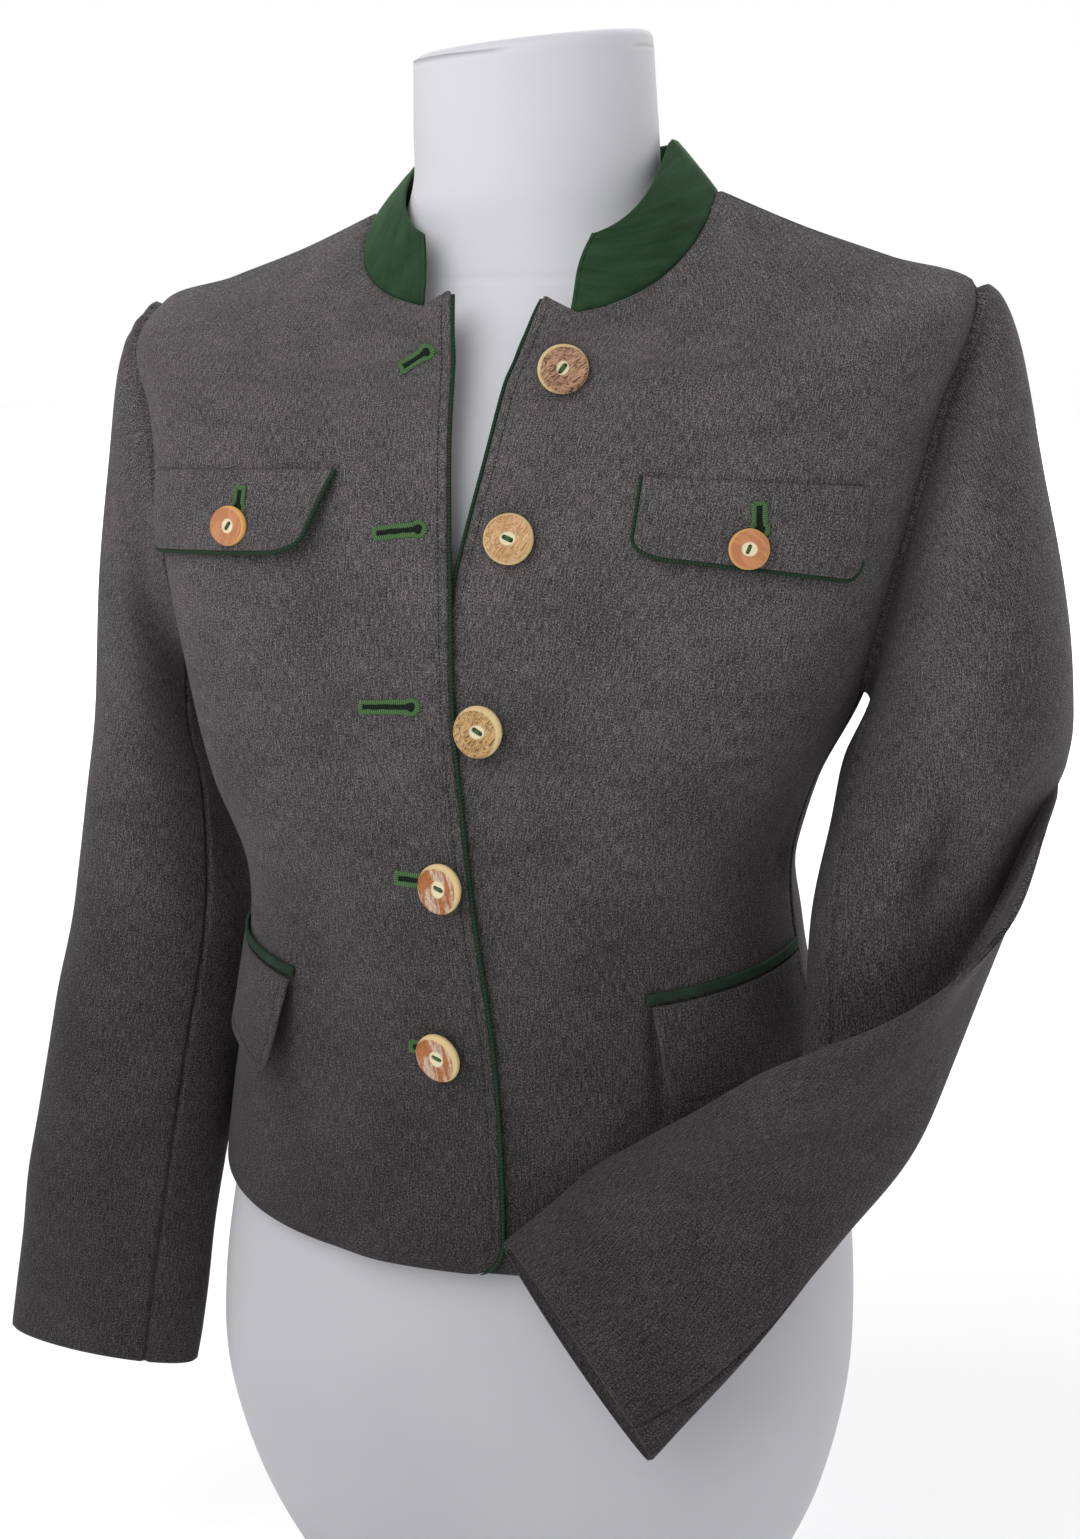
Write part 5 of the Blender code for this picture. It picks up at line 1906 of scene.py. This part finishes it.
@dataclass
class DressForm:
    """The limbless bust that carries the jacket, down to its flat underside."""

    levels: tuple[Level, ...] = (
        Level(0.000, 0.106, 0.000, -0.080, 0.080, 2.2, 2.2),
        Level(0.004, 0.111, 0.000, -0.084, 0.084, 2.2, 2.2),
        Level(0.035, 0.135, 0.000, -0.098, 0.100, 2.3, 2.1),
        Level(0.080, 0.1565, 0.000, -0.110, 0.113, 2.5, 2.0),
        Level(0.135, 0.1700, 0.000, -0.118, 0.121, 2.7, 2.0),
        Level(0.184, 0.1730, 0.000, -0.121, 0.125, 2.5, 2.0),
        Level(0.235, 0.1690, 0.003, -0.118, 0.126, 2.35, 2.0),
        Level(0.290, 0.1570, -0.003, -0.122, 0.110, 2.2, 2.2),
        Level(0.350, 0.1445, -0.015, -0.128, 0.092, 2.2, 2.2),
        Level(0.418, 0.1370, -0.024, -0.132, 0.079, 2.2, 2.2),
        Level(0.468, 0.1465, -0.017, -0.128, 0.082, 2.3, 2.3),
        Level(0.516, 0.1620, -0.010, -0.121, 0.090, 2.4, 2.4),
        Level(0.585, 0.1780, 0.000, -0.109, 0.101, 2.6, 2.6),
        Level(0.635, 0.1820, 0.008, -0.095, 0.100, 2.5, 2.5),
        Level(0.672, 0.1740, 0.012, -0.079, 0.089, 2.4, 2.4),
        Level(0.700, 0.1480, 0.011, -0.068, 0.076, 2.3, 2.3),
        Level(0.722, 0.1120, 0.008, -0.060, 0.066, 2.1, 2.1),
        Level(0.744, 0.0800, 0.003, -0.058, 0.058, 2.0, 2.0),
        Level(0.768, 0.0655, -0.002, -0.061, 0.054, 2.0, 2.0),
        Level(0.800, 0.0630, -0.006, -0.066, 0.052, 2.0, 2.0),
        Level(0.8335, 0.0610, -0.010, -0.071, 0.050, 2.0, 2.0),
    )
    cap_slope: tuple[float, float] = (0.100, 0.055)    # rise of the neck's top towards +X, +Y
    cap_round: float = 0.006
    cap_rows: int = 12                                 # rows over which the neck takes up that rise
    seam_height: float = 0.722                         # the cover's seam across the neck's foot
    seam_width: float = 0.0012
    seam_depth: float = 0.0006
    sides: int = 128

    def shape(self) -> Shape:
        """Level superellipses through the sections' blend, closed by a sloping cap.

        Returns:
            The shape.
        """
        table = np.array(self.levels)
        wanted = np.concatenate([np.linspace(0, 1, 4)[:-1], np.linspace(1, len(table) - 1, 190)])
        rows = catmull(table, wanted)
        z = rows[:, 0]
        nine = np.stack([rows[:, 1], rows[:, 2], z, rows[:, 3], z, rows[:, 4], z,
                         rows[:, 5], rows[:, 6]], axis=-1)
        theta = np.linspace(0, 2 * math.pi, self.sides, endpoint=False)
        rings = superellipse(nine[:, None, :] + 0 * theta[None, :, None], theta[None, :])
        middle = rings[-1].mean(axis=0)
        outward = unit((rings - rings.mean(axis=1, keepdims=True)) * (1, 1, 0))
        dip = np.exp(-((z - self.seam_height) / self.seam_width) ** 2)[:, None, None]
        rings = rings - outward * dip * self.seam_depth
        turn = np.linspace(0, math.pi / 2, 8)
        caps = []
        for angle in turn:
            ring = rings[-1] + unit(middle - rings[-1]) * self.cap_round * (1 - math.cos(angle))
            caps.append(ring + np.array([0, 0, self.cap_round * math.sin(angle)]))
        for share in (0.8, 0.55, 0.3, 0.1):
            caps.append(middle + (caps[7] - middle) * (share, share, 1))
        caps = np.stack(caps)
        tilt = smooth((np.arange(len(caps)) + 1) / 2)[:, None]
        caps[..., 2] += tilt * ((caps[..., :2] - middle[:2]) @ np.array(self.cap_slope))
        points = np.concatenate([rings[:-1], caps])
        below = slice(len(rings) - self.cap_rows, len(rings) - 1)
        lean = (points[below, :, :2] - middle[:2]) @ np.array(self.cap_slope)
        points[below, :, 2] += np.linspace(0, 1, self.cap_rows)[:-1, None] * lean
        ends = np.array([[0, 0, 0.0], points[-1].mean(axis=0)])
        return Shape(np.concatenate([points.reshape(-1, 3), ends]),
                     grid_quads(len(points), self.sides, round_it=True),
                     end_fans(len(points), self.sides))

    def build(self) -> Object:
        """The form as a piece."""
        return place_piece("form_cover", self.shape(), Finish.JERSEY, stands_for=("dress_form",))


# ---- studio ----
class Lamp(NamedTuple):
    """A soft square light: where it stands, what it faces, its size and its power."""

    name: str
    place: tuple[float, float, float]
    target: tuple[float, float, float]
    size: float
    power: float


@dataclass
class Studio:
    """A pale floor, a white surround, soft lights and the camera."""

    azimuth: float = 19.2          # degrees round from straight in front, towards +X
    pitch: float = 9.6             # degrees that the camera looks down
    distance: float = 1.50
    height: float = 0.718
    lens: float = 66.88
    surround: float = 0.48         # strength of the white surround as a light
    floor_half: float = 14.0
    lamps: tuple[Lamp, ...] = (
        Lamp("key", (-0.62, -1.50, 1.75), (0.0, 0.0, 0.62), 1.8, 20.0),
        Lamp("floor_wash", (0.0, 9.5, 6.0), (0.0, 10.0, 0.0), 10.0, 1700.0),
    )

    def surround_light(self) -> None:
        """A white surround that lights softly; what is seen of it directly is plain white."""
        world = bpy.data.worlds.new("white_surround")
        bpy.context.scene.world = world
        world.use_nodes = True
        tree = world.node_tree
        seen = add_node(tree, "LightPath").outputs["Is Camera Ray"]
        strength = add_node(tree, "MapRange", {3: self.surround, 4: 1.0}, {0: seen})
        back = tree.nodes["Background"]
        back.inputs["Color"].default_value = (1.0, 1.0, 1.0, 1.0)
        tree.links.new(strength.outputs[0], back.inputs["Strength"])

    def floor(self) -> None:
        """A wide painted floor under the form."""
        mesh, half = bpy.data.meshes.new("floor"), self.floor_half
        mesh.from_pydata([(-half, -half, 0), (half, -half, 0), (half, half, 0), (-half, half, 0)],
                         [], [(0, 1, 2, 3)])
        mesh.materials.append(PaintedBoard().make())
        board = bpy.data.objects.new("floor", mesh)
        bpy.context.scene.collection.objects.link(board)

    def build(self) -> None:
        """Makes the floor, the surround, the lights and the camera."""
        scene = bpy.context.scene
        scene.view_settings.view_transform = "Standard"
        scene.view_settings.look = "None"
        self.surround_light()
        self.floor()
        for lamp in self.lamps:
            light = bpy.data.lights.new(lamp.name, "AREA")
            light.energy, light.size = lamp.power, lamp.size
            obj = bpy.data.objects.new(lamp.name, light)
            scene.collection.objects.link(obj)
            look = unit(np.subtract(lamp.target, lamp.place))
            obj.location = lamp.place
            obj.rotation_euler = (math.acos(-look[2]), 0.0, math.atan2(-look[0], look[1]))
        camera = bpy.data.cameras.new("camera")
        camera.lens, camera.sensor_width = self.lens, 36.0
        camera.clip_start, camera.clip_end = 0.05, 50.0
        eye = bpy.data.objects.new("camera", camera)
        scene.collection.objects.link(eye)
        turn = math.radians(self.azimuth)
        eye.location = (self.distance * math.sin(turn), -self.distance * math.cos(turn), self.height)
        eye.rotation_euler = (math.radians(90 - self.pitch), 0.0, turn)
        scene.camera = eye


# ---- the whole ----
FLAPS = (
    PocketFlap("chest_flap_left",
               FlapCut((17.2, 0.238), (61.4, 0.233), (16.6, 0.201), (65.7, 0.188), 0.0010, 0.0015),
               piped=True),
    PocketFlap("chest_flap_right",
               FlapCut((-11.8, 0.238), (-58.0, 0.234), (-15.4, 0.197), (-66.0, 0.193), 0.0015, 0.0060),
               piped=True),
    PocketFlap("hip_flap_left",
               FlapCut((38.5, -0.0195), (88.0, -0.0065), (38.5, -0.073), (86.0, -0.056),
                       0.0040, 0.0080), sewn=True),
    PocketFlap("hip_flap_right",
               FlapCut((-35.0, -0.0195), (-86.0, -0.0045), (-35.0, -0.072), (-84.0, -0.056),
                       0.0030, 0.0110), sewn=True),
)
WELTS = (HipWelt("hip_welt_left", (37.5, -0.0185), (89.0, -0.0055)),
         HipWelt("hip_welt_right", (-34.5, -0.0185), (-87.0, -0.0035)))
BUTTONHOLES = (
    Buttonhole("buttonhole_1", (-0.0386, 0.2862), (-0.0240, 0.2969), LAP_LIFT),
    Buttonhole("buttonhole_2", (-0.0438, 0.2076), (-0.0176, 0.2108), LAP_LIFT),
    Buttonhole("buttonhole_3", (-0.0463, 0.1236), (-0.0165, 0.1251), LAP_LIFT),
    Buttonhole("buttonhole_4", (-0.0244, 0.0419), (-0.0020, 0.0405), LAP_LIFT),
    Buttonhole("buttonhole_5", (-0.0187, -0.0430), (0.0030, -0.0450), LAP_LIFT),
    Buttonhole("flap_buttonhole_right", (-0.1205, 0.2270), (-0.1212, 0.2140), 0.0045, ()),
    Buttonhole("flap_buttonhole_left", (0.1439, 0.2256), (0.1450, 0.2100), 0.0036, ()),
)
SHANK = 0.0021                     # thread between a button and the cloth that it is sewn to
ON_UPPER = LAP_LIFT + SHANK
ON_FLAP = 2 * CLOTH + 0.0030
BUTTONS = (
    AntlerButton("button_1", 0.045, 0.2865, SHANK, Finish.BARK_ANTLER, slot=60, grain=-42,
                 lean=(-4, 10), bevel=(0.06, -0.07), core=(0.27, 0.32), seed=1),
    AntlerButton("button_2", 0.026, 0.207, SHANK, Finish.PALE_ANTLER, slot=-22, grain=-30, seed=2),
    AntlerButton("button_3", 0.017, 0.115, ON_UPPER, Finish.FIBRE_ANTLER, slot=-28, grain=-35,
                 lean=(-5, -4), bevel=(-0.13, -0.12), seed=3),
    AntlerButton("button_4", 0.0005, 0.039, ON_UPPER, Finish.RUST_ANTLER, slot=-15, grain=12,
                 lean=(-4, -16), bevel=(-0.10, -0.10), core=(0.34, 0.38), seed=4),
    AntlerButton("button_5", -0.0025, -0.046, ON_UPPER, Finish.RUST_ANTLER, slot=-12, grain=6,
                 lean=(-7, -15), bevel=(-0.12, -0.10), core=(0.36, 0.36), seed=5),
    AntlerButton("flap_button_left", 0.140, 0.204, ON_FLAP, Finish.HONEY_ANTLER, slot=68, grain=50,
                 radius=0.0100, thickness=0.0036, core=(0.42, 0.38), seed=6),
    AntlerButton("flap_button_right", -0.1235, 0.208, ON_FLAP, Finish.HONEY_ANTLER, slot=62,
                 grain=-20, lean=(-4, 14), bevel=(-0.16, -0.04), radius=0.0100, thickness=0.0036,
                 core=(0.34, 0.40), seed=7),
)
LEFT_SLEEVE_FOLDS = (
    Fold((0.086, -0.097), (0.164, -0.124), 0.014, -0.0030),     # under the forearm
    Fold((0.2270, 0.022), (0.2415, 0.086), 0.012, -0.0110),     # the crook of the elbow
    Fold((0.2470, 0.012), (0.2580, 0.094), 0.007, 0.0040),      # the cloth it pushes out
)


def main() -> None:
    """Builds the form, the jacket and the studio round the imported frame, and reports each piece."""
    logging.basicConfig(level=logging.INFO, format="%(name)s: %(message)s")
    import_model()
    DressForm().build()
    for side in Side:
        FrontPanel(side).build()
        BackPanel(side).build()
    Sleeve(Side.RIGHT, RIGHT_RINGS).build()
    Sleeve(Side.LEFT, LEFT_RINGS, LEFT_SLEEVE_FOLDS).build()
    StandCollar().build()
    for part in (*FLAPS, *WELTS, *BUTTONHOLES, *BUTTONS):
        part.build()
    Studio().build()


if __name__ == "__main__":
    main()
